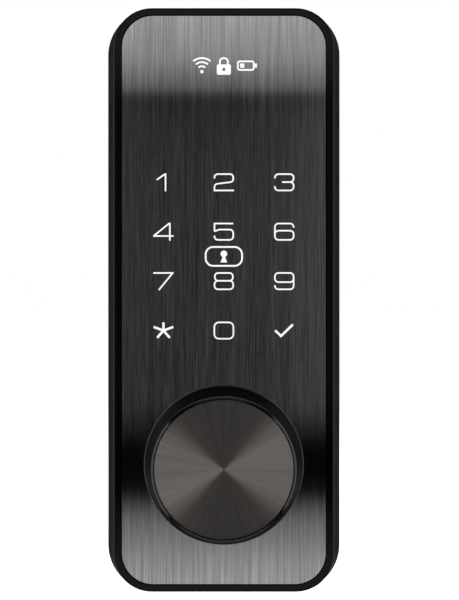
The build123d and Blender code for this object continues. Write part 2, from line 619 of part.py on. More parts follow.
def numeral(name):
    """A wide monoline numeral or key symbol, centred on its key."""
    w, h, r = HALF_W, HALF_H, GLYPH_CURVE
    if name == "1":
        stem = stroke([(0.6, GLYPH_HEIGHT / 2), (0.6, -GLYPH_HEIGHT / 2)])
        return stem + stroke([(-1.95, 0.72), (0.42, h)])
    if name == "2":
        bend = [(-w, 1.1), (-w, h), (w, h), (w, 0.15), (-w, -0.55), (-w, -GLYPH_HEIGHT / 2)]
        bend = stroke(bend, 0.95)
        return bend + stroke([(-w, -h), (GLYPH_WIDTH / 2, -h)])
    if name == "3":
        upper = stroke([(-w, 1.15), (-w, h), (w, h), (w, 0.06), (-0.65, 0.06)], r)
        return upper + stroke([(-0.65, 0.06), (w, 0.06), (w, -h), (-w, -h), (-w, -1.15)], r)
    if name == "4":
        bar_z = -1.25
        diagonal = stroke([(1.75, h + 0.1), (-w - 0.15, bar_z)])
        stem = stroke([(1.86, GLYPH_HEIGHT / 2), (1.86, -GLYPH_HEIGHT / 2)])
        return diagonal + stem + stroke([(-w - 0.25, bar_z), (GLYPH_WIDTH / 2, bar_z)])
    if name == "5":
        top = stroke([(-w - GLYPH_STROKE / 2, h), (w, h)]) + stroke([(-w, h), (-w, 0.1)])
        return top + stroke([(-w, 0.1), (-1.4, 0.62), (w, 0.62), (w, -h), (-w, -h), (-w, -1.15)], r)
    if name == "6":
        body = Pos(0, (0.3 - h) / 2) * loop(2 * w, h + 0.3, r)
        return body + stroke([(-w, -0.9), (-w, h), (w, h), (w, 1.2)], r)
    if name == "7":
        return stroke([(-w - 0.25, h), (w + 0.2, h)]) + stroke([(w, h + 0.05), (-1.35, -h - 0.2)])
    if name == "8":
        upper = Pos(0, (h + 0.1) / 2) * loop(2 * w - 0.25, h - 0.1, r - 0.1)
        return upper + Pos(0, (0.1 - h) / 2) * loop(2 * w, h + 0.1, r)
    if name == "9":
        body = Pos(0, (h - 0.3) / 2) * loop(2 * w, h + 0.3, r)
        return body + stroke([(w, 0.9), (w, -h), (-w, -h), (-w, -1.2)], r)
    if name == "0":
        return loop(2 * w + 0.1, 2 * h, 1.35)
    if name == "star":
        arms = [(90, 2.35), (20, 3.05), (160, 3.05), (-49, 2.8), (229, 2.8)]
        tips = [(a * math.pi / 180, reach) for a, reach in arms]
        star = Circle(0.5)
        for angle, reach in tips:
            star += stroke([(0, 0), (reach * math.cos(angle), reach * math.sin(angle))], width=0.66)
        return star
    return stroke([(-2.65, 0.05), (-0.95, -1.6), (2.5, 1.75)], width=0.64)


def key_places():
    """Each key's name with the centre of its legend."""
    rows = [("1", "2", "3"), ("4", "5", "6"), ("7", "8", "9"), ("star", "0", "check")]
    places = {}
    for row, names in enumerate(rows):
        for column, name in enumerate(names):
            places[name] = ((column - 1) * KEY_PITCH_X, KEY_MID_UP + (1.5 - row) * KEY_PITCH_Z)
    return places


def lock_symbol_sketch():
    """A keyhole in a closed pill, for the lock-now key between two rows."""
    pill = loop(10.6, 5.5, 2.2, 0.5)
    hole = Pos(0, 0.75) * Circle(0.95) + Polygon((0, 0.9), (-0.95, -1.75), (0.95, -1.75), align=None)
    return pill + hole


def radio_sketch():
    """Three arcs over a dot."""
    sketch = Pos(0, -1.75) * Circle(0.5)
    for radius in (1.55, 2.75, 3.95):
        ring = Circle(radius + 0.26) - Circle(radius - 0.26)
        wedge = Polygon((0, 0), (-6, 7.2), (6, 7.2), align=None)
        sketch += Pos(0, -1.75) * (ring & wedge)
    return sketch


def padlock_sketch():
    """A closed padlock."""
    shackle = (Pos(0, 0.6) * loop(2.3, 3.2, 1.1, 0.5)) & (Pos(0, 1.7) * Rectangle(6, 3.0))
    return shackle + Pos(0, -1.15) * RectangleRounded(4.1, 3.0, 0.5) - Pos(0, -1.1) * Circle(0.5)


def battery_sketch():
    """A battery with one charge bar."""
    shell = loop(4.6, 2.5, 0.55, 0.5) + Pos(2.95, 0) * Rectangle(0.6, 1.2)
    return shell + Pos(-1.05, 0) * Rectangle(1.2, 1.25)


def symbol_place():
    """Centre of the lock-now symbol."""
    return (0.0, KEY_MID_UP)


def inlay(sketch, x, z):
    """A legend let into the panel's face."""
    return slab(Pos(x, z) * sketch, PANEL_FACE - LEGEND_DEEP, PANEL_FACE)


def legend_solids():
    """Every lit legend by its node name."""
    solids = {f"legend_{name}": inlay(numeral(name), *place) for name, place in key_places().items()}
    solids["lock_symbol"] = inlay(lock_symbol_sketch(), *symbol_place())
    icons = [radio_sketch(), padlock_sketch(), battery_sketch()]
    marks = [inlay(icon, (n - 1) * STATUS_PITCH, STATUS_UP) for n, icon in enumerate(icons)]
    solids["status_symbols"] = joined(marks)
    return solids


def joined(pieces):
    """Separate solids kept in one node."""
    return Compound([solid for piece in pieces for solid in piece.solids()])


# ---------------------------------------------------------------- keypad stack
def baffle_outline():
    """Outline shared by the light baffle and the light guide."""
    width = KEY_BOARD_WIDTH - 2 * BAFFLE_MARGIN
    height = KEY_BOARD_HIGH - KEY_BOARD_LOW - 2 * BAFFLE_END_MARGIN
    return Pos(0, (KEY_BOARD_LOW + KEY_BOARD_HIGH) / 2) * RectangleRounded(width, height, GUIDE_CORNER)


def lit_places():
    """Centre of every lit spot, with the height of its well."""
    wells = [(x, z, WELL_HEIGHT) for x, z in key_places().values()]
    wells.append((*symbol_place(), SYMBOL_WELL_HEIGHT))
    return wells + [((n - 1) * STATUS_PITCH, STATUS_UP, WELL_HEIGHT) for n in range(3)]


def light_baffle():
    """The black grid that keeps each key's light to itself."""
    grid = slab(baffle_outline(), KEY_BOARD_FRONT, GUIDE_BACK)
    for x, z, height in lit_places():
        width = WELL_WIDTH if z != STATUS_UP else STATUS_PITCH - WELL_WALL
        grid -= slab(Pos(x, z) * RectangleRounded(width, height, WELL_CORNER), KEY_BOARD_FRONT, GUIDE_BACK)
    return grid


def light_guide():
    """The clear diffuser behind the panel."""
    return slab(baffle_outline(), GUIDE_BACK, PANEL_BACK)


def keypad_board():
    """The touch sensing board, screwed to the deck's standoffs."""
    height = KEY_BOARD_HIGH - KEY_BOARD_LOW
    shape = RectangleRounded(KEY_BOARD_WIDTH, height, KEY_BOARD_CORNER)
    board = slab(Pos(0, KEY_BOARD_LOW + height / 2) * shape, KEY_BOARD_BACK, KEY_BOARD_FRONT)
    for x, z in key_board_screw_places():
        board -= disc(SMALL_SCREW + SCREW_HOLE_GAP, KEY_BOARD_BACK, KEY_BOARD_FRONT, x, z)
    return board


def backlight_leds():
    """One small lamp in the middle of each well."""
    top = KEY_BOARD_FRONT + LED_THICK
    return joined([bar(LED_WIDTH, LED_HEIGHT, KEY_BOARD_FRONT, top, x, z) for x, z, _ in lit_places()])


def header_outline(clearance=0.0):
    """Outline of the header that joins the two boards through the deck."""
    return Pos(0, HEADER_UP) * Rectangle(HEADER_WIDTH + 2 * clearance, HEADER_HEIGHT + 2 * clearance)


def board_header():
    """The pin header between the two boards."""
    return slab(header_outline(), MAIN_BOARD_FRONT, KEY_BOARD_BACK)


# ---------------------------------------------------------------- main board, in the rear
def main_board():
    """The controller board."""
    height = MAIN_BOARD_HIGH - MAIN_BOARD_LOW
    shape = RectangleRounded(MAIN_BOARD_WIDTH, height, MAIN_BOARD_CORNER)
    board = slab(Pos(0, MAIN_BOARD_LOW + height / 2) * shape, MAIN_BOARD_BACK, MAIN_BOARD_FRONT)
    for x, z in main_board_screw_places():
        board -= disc(SMALL_SCREW + SCREW_HOLE_GAP, MAIN_BOARD_BACK, MAIN_BOARD_FRONT, x, z)
    return board


def board_chips():
    """Processor, touch controller, regulators, capacitors and the two flex plugs."""
    back = MAIN_BOARD_BACK
    chips = [bar(width, height, back - thick, back, x, z) for x, z, width, height, thick in CHIPS]
    chips += [disc(CAPACITOR_RADIUS, back - CAPACITOR_TALL, back, x, z) for x, z in CAPACITORS]
    plug = (FLEX_PLUG_WIDTH, FLEX_PLUG_HEIGHT, MAIN_BOARD_FRONT, DECK_BACK - FLEX_THICK)
    chips += [bar(*plug, side * FLEX_START_X, FLEX_START_Z) for side in (-1, 1)]
    return joined(chips)


def radio_module():
    """The shielded radio, at the top where the case is clear of the door's metal."""
    seat = MAIN_BOARD_BACK - RADIO_BOARD
    width, height = RADIO_WIDTH - 2 * RADIO_CAN_INSET, RADIO_HEIGHT - 2 * RADIO_CAN_INSET
    can = bar(width, height, MAIN_BOARD_BACK - RADIO_CAN_TALL, seat, RADIO_X, RADIO_UP)
    can = fillet(can.faces().sort_by(Axis.Y)[-1].edges(), CAN_EDGE)
    return can + bar(RADIO_WIDTH, RADIO_HEIGHT, seat, MAIN_BOARD_BACK, RADIO_X, RADIO_UP)


def buzzer():
    """The sounder, with its sound hole."""
    low = MAIN_BOARD_BACK - BUZZER_TALL
    body = disc(BUZZER_RADIUS, low, MAIN_BOARD_BACK, BUZZER_X, BUZZER_UP)
    body = fillet(body.faces().sort_by(Axis.Y)[-1].edges(), CAN_EDGE)
    return body - disc(BUZZER_HOLE, low, low + BUZZER_TALL / 2, BUZZER_X, BUZZER_UP)


def harness_socket():
    """The open socket for the lead to the inside unit, facing the door's bore."""
    low = PLATE_FRONT + SOCKET_PLATE_GAP
    floor = MAIN_BOARD_BACK - HARNESS_FLOOR
    inside = (HARNESS_WIDTH - 2 * HARNESS_WALL, HARNESS_HEIGHT - 2 * HARNESS_WALL)
    body = bar(HARNESS_WIDTH, HARNESS_HEIGHT, low, MAIN_BOARD_BACK, 0, CABLE_UP)
    body -= bar(*inside, low, floor, 0, CABLE_UP)
    for n in range(HARNESS_PINS):
        x = (n - (HARNESS_PINS - 1) / 2) * HARNESS_PITCH
        body += bar(HARNESS_PIN, HARNESS_PIN, low + HARNESS_PIN_SUNK, floor, x, CABLE_UP)
    return body


def board_screws():
    """The small screws that hold both boards and the motor strap."""
    small = (SMALL_SCREW, SMALL_HEAD, SMALL_HEAD_HIGH)
    length = KEY_BOARD_THICK + KEY_STANDOFF + KEY_SCREW_GRIP
    screws = [screw(x, z, KEY_BOARD_FRONT, length, *small, 1) for x, z in key_board_screw_places()]
    length = MAIN_BOARD_THICK + MAIN_STANDOFF + MAIN_SCREW_GRIP
    screws += [screw(x, z, MAIN_BOARD_BACK, length, *small, -1) for x, z in main_board_screw_places()]
    seat, length = DECK_BACK - STRAP_THICK, STRAP_THICK + STRAP_SCREW_GRIP
    screws += [screw(x, z, seat, length, *small, -1) for x, z in strap_screw_places()]
    return joined(screws)


def body_screws():
    """The larger screws that hold the back plate to the housing and the frame to the deck."""
    size = (BODY_SCREW, BODY_HEAD, BODY_HEAD_HIGH)
    screws = [screw(x, z, PLATE_BACK, PLATE_SCREW_LENGTH, *size, -1) for x, z in plate_screw_places()]
    length = FRAME_SCREW_LENGTH
    screws += [screw(x, z, DECK_BACK, length, *size, -1) for x, z, _, _ in frame_screw_places()]
    return joined(screws)


# ---------------------------------------------------------------- knob
def knob_cone(depth):
    """The knob's outer radius at a depth."""
    share = (depth - KNOB_BASE) / KNOB_HEIGHT
    return KNOB_BASE_RADIUS + (KNOB_FACE_RADIUS - KNOB_BASE_RADIUS) * share


def knob_body():
    """The hollow tapered knob, with a web under the disc and a hub with a drive flat."""
    hole = KNOB_SCREW_SHANK + KNOB_SCREW_GAP
    body = turned(
        (SHAFT_RADIUS, KNOB_HUB_BACK),
        (KNOB_HUB_RADIUS, KNOB_HUB_BACK),
        (KNOB_HUB_RADIUS, WEB_BACK),
        (knob_cone(WEB_BACK) - KNOB_WALL, WEB_BACK),
        (knob_cone(KNOB_BASE) - KNOB_WALL, KNOB_BASE),
        (knob_cone(KNOB_BASE) - KNOB_FOOT_BEVEL, KNOB_BASE),
        (knob_cone(KNOB_BASE), KNOB_BASE + KNOB_FOOT_BEVEL),
        (knob_cone(RING_BACK), RING_BACK),
        (RING_INNER, RING_BACK),
        (RING_INNER, DISC_BACK),
        (KNOB_SCREW_HEAD + KNOB_SCREW_GAP, DISC_BACK),
        (hole, DISC_BACK - KNOB_SCREW_CONE),
        (hole, WEB_BACK),
        (SHAFT_RADIUS, WEB_BACK),
    )
    chord = SHAFT_RADIUS - SHAFT_FLAT
    key = bar(chord, 2 * SHAFT_RADIUS, KNOB_HUB_BACK, WEB_BACK, SHAFT_FLAT + FLAT_GAP + chord / 2)
    return body + (key & disc(SHAFT_RADIUS + FLAT_GAP, KNOB_HUB_BACK, WEB_BACK))


def knob_trim_ring():
    """The bright ring that edges the knob's front."""
    back = knob_cone(RING_BACK)
    return turned(
        (RING_INNER, RING_BACK),
        (back, RING_BACK),
        (back - RIM_RING_STEP, KNOB_RIM - RIM_RING_CHAMFER),
        (RING_INNER + RIM_RING_LAND, KNOB_RIM),
        (RING_INNER, KNOB_RIM),
    )


def knob_disc():
    """The spun metal disc let into the knob's face."""
    return turned(
        (0, DISC_BACK),
        (DISC_RADIUS, DISC_BACK),
        (DISC_RADIUS, DISC_FACE - DISC_EDGE),
        (DISC_RADIUS - DISC_EDGE, DISC_FACE),
        (0, DISC_FACE),
    )


def knob_screw():
    """The countersunk screw under the disc that pulls the knob on to its shaft."""
    top = DISC_BACK - KNOB_SCREW_SUNK
    end = WEB_BACK - KNOB_SCREW_GRIP
    shank = KNOB_SCREW_SHANK
    body = turned((0, top), (KNOB_SCREW_HEAD, top), (shank, top - KNOB_SCREW_CONE), (shank, end), (0, end))
    return body - slab(RegularPolygon(KNOB_SCREW_HEX, 6), top - KNOB_SCREW_HEX_DEEP, top)


def knob_shaft():
    """The steel shaft: a drive flat in the knob, a plain journal, and two flats in the driver."""
    shaft = disc(SHAFT_RADIUS, SHAFT_END, WEB_BACK)
    shaft = chamfer(shaft.edges().filter_by(GeomType.CIRCLE).sort_by(Axis.Y)[-1], SHAFT_BEVEL)
    tall = 2 * SHAFT_RADIUS
    shaft -= bar(tall, tall, KNOB_HUB_BACK, WEB_BACK, SHAFT_FLAT + tall / 2)
    for side in (-1, 1):
        shaft -= bar(tall, tall, SHAFT_END, DRIVER_FRONT, side * (DRIVER_FLAT + tall / 2))
    groove = disc(tall, CIRCLIP_FRONT - CIRCLIP_THICK - CIRCLIP_PLAY, CIRCLIP_FRONT + CIRCLIP_PLAY)
    shaft -= groove - disc(CIRCLIP_GROOVE, SHAFT_END, DRIVER_FRONT)
    return shaft - disc(KNOB_SCREW_SHANK, WEB_BACK - KNOB_SCREW_GRIP - KNOB_SCREW_DRILL, WEB_BACK)


def dogs(low, high, turn):
    """The ring of clutch dogs between two depths, turned by an angle."""
    ring = Circle(DOG_RADIUS - DOG_INSET) - Circle(DOG_INNER)
    half = math.radians(DOG_ANGLE / 2)
    reach = 2 * DOG_RADIUS
    teeth = []
    for n in range(DOG_COUNT):
        wedge = Polygon(
            (0, 0),
            (reach * math.cos(half), -reach * math.sin(half)),
            (reach * math.cos(half), reach * math.sin(half)),
            align=None,
        )
        teeth.append(slab(Rot(0, 0, turn + 360 * n / DOG_COUNT) * (ring & wedge), low, high))
    return teeth


def driver_dog():
    """The driver on the shaft's inner end. Its dogs point at the sleeve."""
    bore = Circle(SHAFT_RADIUS) & Rectangle(2 * DRIVER_FLAT, 4 * SHAFT_RADIUS)
    body = slab(Circle(DOG_RADIUS) - bore, DRIVER_BACK, DRIVER_FRONT)
    for tooth in dogs(DRIVER_BACK - DOG_HEIGHT, DRIVER_BACK, 0):
        body += tooth
    return body


def shaft_circlip():
    """The clip that keeps the driver on the shaft."""
    ring = Circle(CIRCLIP_RADIUS) - Circle(CIRCLIP_GROOVE)
    mouth = Pos(0, -CIRCLIP_RADIUS) * Rectangle(CIRCLIP_MOUTH, 2 * CIRCLIP_RADIUS)
    return slab(ring - mouth, CIRCLIP_FRONT - CIRCLIP_THICK, CIRCLIP_FRONT)


def shaft_bush():
    """The flanged bearing bush in the housing's boss."""
    bore = SHAFT_RADIUS + RUNNING_CLEARANCE
    return turned(
        (bore, DECK_BACK),
        (BUSH_RADIUS, DECK_BACK),
        (BUSH_RADIUS, BUSH_SEAT),
        (BUSH_FLANGE, BUSH_SEAT),
        (BUSH_FLANGE, FLANGE_FACE),
        (bore, FLANGE_FACE),
    )


def shaft_seal():
    """The felt ring that keeps weather out of the bush."""
    inner = SHAFT_RADIUS + WASHER_GAP
    return slab(Circle(inner + SEAL_RING_WALL) - Circle(inner), FLANGE_FACE, SHAFT_SEAL_FRONT)


def thrust_washer():
    """The washer between the deck and the driver."""
    inner = SHAFT_RADIUS + WASHER_GAP
    return slab(Circle(THRUST_RADIUS) - Circle(inner), DECK_BACK - THRUST_THICK, DECK_BACK)


def knob_surround():
    """The thin ring on the panel that the knob's skirt runs over."""
    top = PANEL_FACE + SURROUND_THICK
    return turned(
        (SURROUND_INNER, PANEL_FACE),
        (SURROUND_RADIUS, PANEL_FACE),
        (SURROUND_RADIUS, top - SURROUND_EDGE),
        (SURROUND_RADIUS - SURROUND_EDGE, top),
        (SURROUND_INNER, top),
    )


# ---------------------------------------------------------------- clutch sleeve, spindle and tailpiece
def clutch_sleeve():
    """The sliding sleeve, in mesh with the driver. A fork runs in its groove."""
    body = disc(DOG_RADIUS, SLEEVE_BACK, SLEEVE_FRONT)
    hexagon = RegularPolygon(HEX_FLATS / 2 + HEX_CLEARANCE, 6, major_radius=False)
    body -= slab(hexagon, SLEEVE_BACK, SLEEVE_FRONT)
    ring = Circle(2 * DOG_RADIUS) - Circle(GROOVE_RADIUS)
    body -= slab(ring, GROOVE_MID - GROOVE_WIDTH / 2, GROOVE_MID + GROOVE_WIDTH / 2)
    for tooth in dogs(SLEEVE_FRONT, SLEEVE_FRONT + DOG_HEIGHT, 180 / DOG_COUNT):
        body += tooth
    return body


def spindle_hub():
    """The six-sided hub that the sleeve slides on, with a journal through the back plate."""
    hexagon = RegularPolygon(HEX_FLATS / 2, 6, major_radius=False)
    body = slab(hexagon, HEX_BACK, HEX_FRONT) + disc(SPINDLE_JOURNAL, SPINDLE_END, HEX_BACK)
    slot = Rectangle(TAIL_THICK + 2 * TAIL_CLEARANCE, TAIL_WIDTH + 2 * TAIL_CLEARANCE)
    body -= slab(slot, SPINDLE_END, HEX_FRONT - HUB_END_WALL)
    return body - tail_pin_bar(HEX_FLATS)


def tail_pin_bar(length):
    """A bar across the hub, where the tailpiece is pinned."""
    return Plane(origin=(0, -tail_pin_depth(), 0), z_dir=(1, 0, 0)) * Cylinder(TAIL_PIN_RADIUS, length)


def tail_pin_depth():
    """Depth of the cross pin."""
    return HEX_FRONT - TAIL_PIN_BACK


def tailpiece():
    """The flat blade that turns the bolt, scored so that it can be snapped to the door's thickness."""
    blade = slab(Rectangle(TAIL_THICK, TAIL_WIDTH), -TAIL_REACH, HEX_FRONT - HUB_END_WALL - HUB_END_GAP)
    tip = blade.faces().sort_by(Axis.Y)[-1].edges().filter_by(Axis.X)
    blade = chamfer(tip, TAIL_TIP)
    score = Rot(0, 0, 45) * Rectangle(SCORE_SIZE, SCORE_SIZE)
    for n in range(SCORE_COUNT):
        for side in (-1, 1):
            place = Pos(side * TAIL_THICK / 2, TAIL_REACH - SCORE_FIRST - SCORE_PITCH * n)
            blade -= extrude(Plane.XY.offset(-TAIL_WIDTH) * (place * score), amount=2 * TAIL_WIDTH)
    return blade - tail_pin_bar(HEX_FLATS)


def tailpiece_pin():
    """The cross pin, flush with the hub's flats."""
    return tail_pin_bar(HEX_FLATS - 2 * HEX_CLEARANCE)


def spindle_bush():
    """The flanged bush in the back plate."""
    bore = SPINDLE_JOURNAL + RUNNING_CLEARANCE
    flange = SPINDLE_BUSH_RADIUS + SPINDLE_FLANGE
    return turned(
        (bore, PLATE_BACK - SPINDLE_FLANGE_THICK),
        (flange, PLATE_BACK - SPINDLE_FLANGE_THICK),
        (flange, PLATE_BACK),
        (SPINDLE_BUSH_RADIUS, PLATE_BACK),
        (SPINDLE_BUSH_RADIUS, PLATE_FRONT),
        (bore, PLATE_FRONT),
    )


# ---------------------------------------------------------------- shifter
def shift_fork():
    """The fork that moves the sleeve, with the rack that the pinion drives."""
    ring = Circle(FORK_RADIUS) - Circle(GROOVE_RADIUS + FORK_CLEARANCE)
    arch = ring & (Pos(0, -FORK_RADIUS / 2) * Rectangle(3 * FORK_RADIUS, FORK_RADIUS))
    ear = Pos(GUIDE_PIN_X, GUIDE_PIN_Z) * Circle(GUIDE_PIN_RADIUS + FORK_EAR_WALL)
    middle = (GROOVE_RADIUS + FORK_RADIUS) / 2
    root = math.atan2(GUIDE_PIN_Z, GUIDE_PIN_X)
    foot = (middle * math.cos(root), middle * math.sin(root))
    arm = stroke([(GUIDE_PIN_X, GUIDE_PIN_Z), foot], width=FORK_ARM)
    low, high = GROOVE_MID - FORK_THICK / 2, GROOVE_MID + FORK_THICK / 2
    body = slab(arch + ear + arm, low, high)
    body -= disc(GUIDE_PIN_RADIUS + RUNNING_CLEARANCE, low, high, GUIDE_PIN_X, GUIDE_PIN_Z)
    return body + rack()


def rack_profile():
    """The rack's side view, in distance out from the door and Z. A gap is centred on the pinion's axis."""
    half_tip = GEAR_PITCH / 4 - BACKLASH - RACK_ADDENDUM * math.tan(math.radians(PRESSURE_ANGLE))
    root_drop = PITCH_LINE_Z - RACK_ROOT_Z
    half_root = GEAR_PITCH / 4 - BACKLASH - root_drop * math.tan(math.radians(PRESSURE_ANGLE))
    tip_z = PITCH_LINE_Z - RACK_ADDENDUM
    top_z = RACK_ROOT_Z + RACK_BASE
    points = [(rack_end(-1), top_z), (rack_end(-1), RACK_ROOT_Z)]
    for n in (-1.5, -0.5, 0.5, 1.5):
        middle = PINION_DEPTH + n * GEAR_PITCH
        points += [(middle - half_root, RACK_ROOT_Z), (middle - half_tip, tip_z)]
        points += [(middle + half_tip, tip_z), (middle + half_root, RACK_ROOT_Z)]
    return points + [(rack_end(1), RACK_ROOT_Z), (rack_end(1), top_z)]


def rack_end(side):
    """Depth of one end of the rack."""
    return PINION_DEPTH + side * (2 * GEAR_PITCH - RACK_END_TRIM)


def rack():
    """The rack, on the fork's lower edge."""
    side_view = Plane(origin=(-RACK_WIDTH / 2, 0, 0), x_dir=(0, -1, 0), z_dir=(-1, 0, 0))
    profile = make_face(Polyline(*rack_profile(), close=True))
    return extrude(side_view * profile, amount=-RACK_WIDTH)


def pinion_flank():
    """One flank of a tooth as (radius, half angle) from root to tip, an involute above the base circle."""
    base = PINION_RADIUS * math.cos(math.radians(PRESSURE_ANGLE))
    tip = PINION_RADIUS + GEAR_MODULE
    at_pitch = math.tan(math.radians(PRESSURE_ANGLE)) - math.radians(PRESSURE_ANGLE)
    half_pitch = math.pi / (2 * PINION_TEETH) - BACKLASH / PINION_RADIUS
    flank = []
    for n in range(FLANK_STEPS + 1):
        radius = base + (tip - base) * n / FLANK_STEPS
        roll = math.acos(min(1.0, base / radius))
        flank.append((radius, half_pitch + at_pitch - (math.tan(roll) - roll)))
    root = PINION_RADIUS - RACK_ADDENDUM - PINION_ROOT_CLEARANCE
    return [(root, flank[0][1])] + flank


def motor_pinion():
    """The pinion on the gearmotor's shaft, with a tooth pointing at the rack's middle gap."""
    flank = pinion_flank()
    points = []
    for n in range(PINION_TEETH):
        middle = math.pi / 2 + 2 * math.pi * n / PINION_TEETH
        for radius, half in flank:
            points.append((radius * math.cos(middle - half), radius * math.sin(middle - half)))
        for radius, half in reversed(flank):
            points.append((radius * math.cos(middle + half), radius * math.sin(middle + half)))
    gear = make_face(Polyline(*points, close=True)) - Circle(MOTOR_SHAFT_RADIUS)
    plane = Plane(origin=(-RACK_WIDTH / 2, -PINION_DEPTH, PINION_Z), x_dir=(0, -1, 0), z_dir=(-1, 0, 0))
    return extrude(plane * gear, amount=-RACK_WIDTH)


def along_x(radius, low, high):
    """A round bar along X on the pinion's axis."""
    plane = Plane(origin=(low, -PINION_DEPTH, PINION_Z), z_dir=(1, 0, 0))
    return plane * Cylinder(radius, high - low, align=BOTTOM)


def motor_shaft():
    """The gearmotor's output shaft."""
    return along_x(MOTOR_SHAFT_RADIUS, -RACK_WIDTH / 2 - PINION_TO_MOTOR, MOTOR_FACE_X)


def clutch_motor():
    """The gearmotor: a square gearbox, a flat-sided can and its two terminals."""
    split_x = MOTOR_FACE_X + GEARBOX_LENGTH
    end_x = MOTOR_FACE_X + MOTOR_LENGTH
    low, high = MOTOR_FRONT - MOTOR_THICK, MOTOR_FRONT
    gearbox = bar(GEARBOX_LENGTH, MOTOR_HEIGHT, low, high, (MOTOR_FACE_X + split_x) / 2, PINION_Z)
    gearbox = chamfer(gearbox.edges().filter_by(Axis.X), GEARBOX_BEVEL)
    can = along_x(MOTOR_HEIGHT / 2, split_x, end_x)
    can &= bar(MOTOR_LENGTH, MOTOR_HEIGHT, low, high, (split_x + end_x) / 2, PINION_Z)
    body = gearbox + can + along_x(MOTOR_NOSE_RADIUS, end_x, end_x + MOTOR_NOSE)
    low, high = PINION_DEPTH - TERMINAL_WIDTH / 2, PINION_DEPTH + TERMINAL_WIDTH / 2
    for z in (PINION_Z - TERMINAL_Z, PINION_Z + TERMINAL_Z):
        body += bar(TERMINAL_LENGTH, TERMINAL_THICK, low, high, end_x + TERMINAL_LENGTH / 2, z)
    return body


def motor_strap():
    """The bent strap that holds the motor's can to the deck."""
    x = strap_screw_places()[0][0]
    half = MOTOR_HEIGHT / 2 + MOTOR_GAP
    back = MOTOR_FRONT - MOTOR_THICK
    outer = bar(STRAP_WIDTH, 2 * (half + STRAP_THICK), back - STRAP_THICK, DECK_BACK, x, PINION_Z)
    body = outer - bar(STRAP_WIDTH, 2 * half, back, DECK_BACK, x, PINION_Z)
    for hole_x, hole_z in strap_screw_places():
        side = 1 if hole_z > PINION_Z else -1
        middle = PINION_Z + side * (half + (STRAP_THICK + STRAP_FOOT) / 2)
        body += bar(STRAP_WIDTH, STRAP_THICK + STRAP_FOOT, DECK_BACK - STRAP_THICK, DECK_BACK, x, middle)
        body -= disc(SMALL_SCREW + SCREW_HOLE_GAP, DECK_BACK - STRAP_THICK, DECK_BACK, hole_x, hole_z)
    return body


def fork_guide_pin():
    """The pin that the fork slides on, from the deck to the back plate."""
    return disc(GUIDE_PIN_RADIUS, PLATE_FRONT, GUIDE_PIN_FRONT, GUIDE_PIN_X, GUIDE_PIN_Z)


# ---------------------------------------------------------------- back plate and door fixings
def back_plate():
    """The steel plate that closes the rear, with holes for spindle, posts, lead and screws."""
    inset = plate_inset()
    plate = slab(outline(inset), PLATE_BACK, PLATE_FRONT)
    plate -= disc(SPINDLE_BUSH_RADIUS, PLATE_BACK, PLATE_FRONT)
    cable = RectangleRounded(CABLE_WIDTH, CABLE_HEIGHT, CABLE_CORNER)
    plate -= slab(Pos(0, CABLE_UP) * cable, PLATE_BACK, PLATE_FRONT)
    for x, z in post_places():
        plate -= disc(POST_RADIUS, PLATE_BACK, PLATE_FRONT, x, z)
    for x, z in plate_screw_places():
        plate -= disc(BODY_SCREW + SCREW_HOLE_GAP, PLATE_BACK, PLATE_FRONT, x, z)
    return plate


def plate_inset():
    """How far the back plate's edge is drawn in from the rear rim."""
    return flare_at(PLATE_FRONT) + WALL + PLATE_GAP


def door_gasket():
    """The rubber ring that seals the unit to the door."""
    outer = plate_inset() + GASKET_MARGIN
    return slab(outline(outer) - outline(outer + GASKET_WIDTH), 0, GASKET_THICK)


def mounting_posts():
    """The two threaded posts that the inside unit's through bolts pull on."""
    posts = []
    for x, z in post_places():
        flange_front = PLATE_FRONT + POST_FLANGE_THICK
        post = disc(POST_RADIUS, -POST_REACH, flange_front + POST_NOSE, x, z)
        post += disc(POST_FLANGE_RADIUS, PLATE_FRONT, flange_front, x, z)
        post = chamfer(post.edges().filter_by(GeomType.CIRCLE).sort_by(Axis.Y)[-1], POST_BEVEL)
        posts.append(post - disc(POST_THREAD_RADIUS, -POST_REACH, POST_THREAD_DEEP - POST_REACH, x, z))
    return joined(posts)


# ---------------------------------------------------------------- power port pieces
def socket_slab(width, thick, corner, low, high):
    """A block standing over the port, between two heights above the flared wall's foot."""
    shape = Pos(0, -PORT_DEPTH) * RectangleRounded(width, thick, corner)
    return extrude(Plane.XY.offset(BODY_BOTTOM + FLARE + low) * shape, amount=high - low)


def power_socket():
    """The emergency power socket, opening downwards above the flap."""
    width, thick = PORT_WIDTH - 2 * SOCKET_GAP, PORT_HEIGHT - 2 * SOCKET_GAP
    low, high = SOCKET_LIFT, SOCKET_LIFT + SOCKET_LENGTH
    inner = (width - 2 * SOCKET_WALL, thick - 2 * SOCKET_WALL, SOCKET_CORNER - SOCKET_WALL / 2)
    shell = socket_slab(width, thick, SOCKET_CORNER, low, high)
    shell -= socket_slab(*inner, low, high - SOCKET_FLOOR)
    return shell + socket_slab(TONGUE_WIDTH, TONGUE_THICK, TONGUE_THICK / 3, low + TONGUE_SUNK, high)


def port_board():
    """The small board that carries the power socket."""
    back = PORT_DEPTH + PORT_HEIGHT / 2 - SOCKET_GAP
    middle = BODY_BOTTOM + FLARE + PORT_BLOCK + PORT_BOARD_GAP + PORT_BOARD_HEIGHT / 2
    return bar(PORT_BOARD_WIDTH, PORT_BOARD_HEIGHT, back, back + PORT_BOARD_THICK, 0, middle)


def flap_pin():
    """The flap's hinge pin."""
    return flap_pin_bar(FLAP_PIN_RADIUS, FLAP_WIDTH + 2 * FLAP_PIN_END - FLAP_GAP)


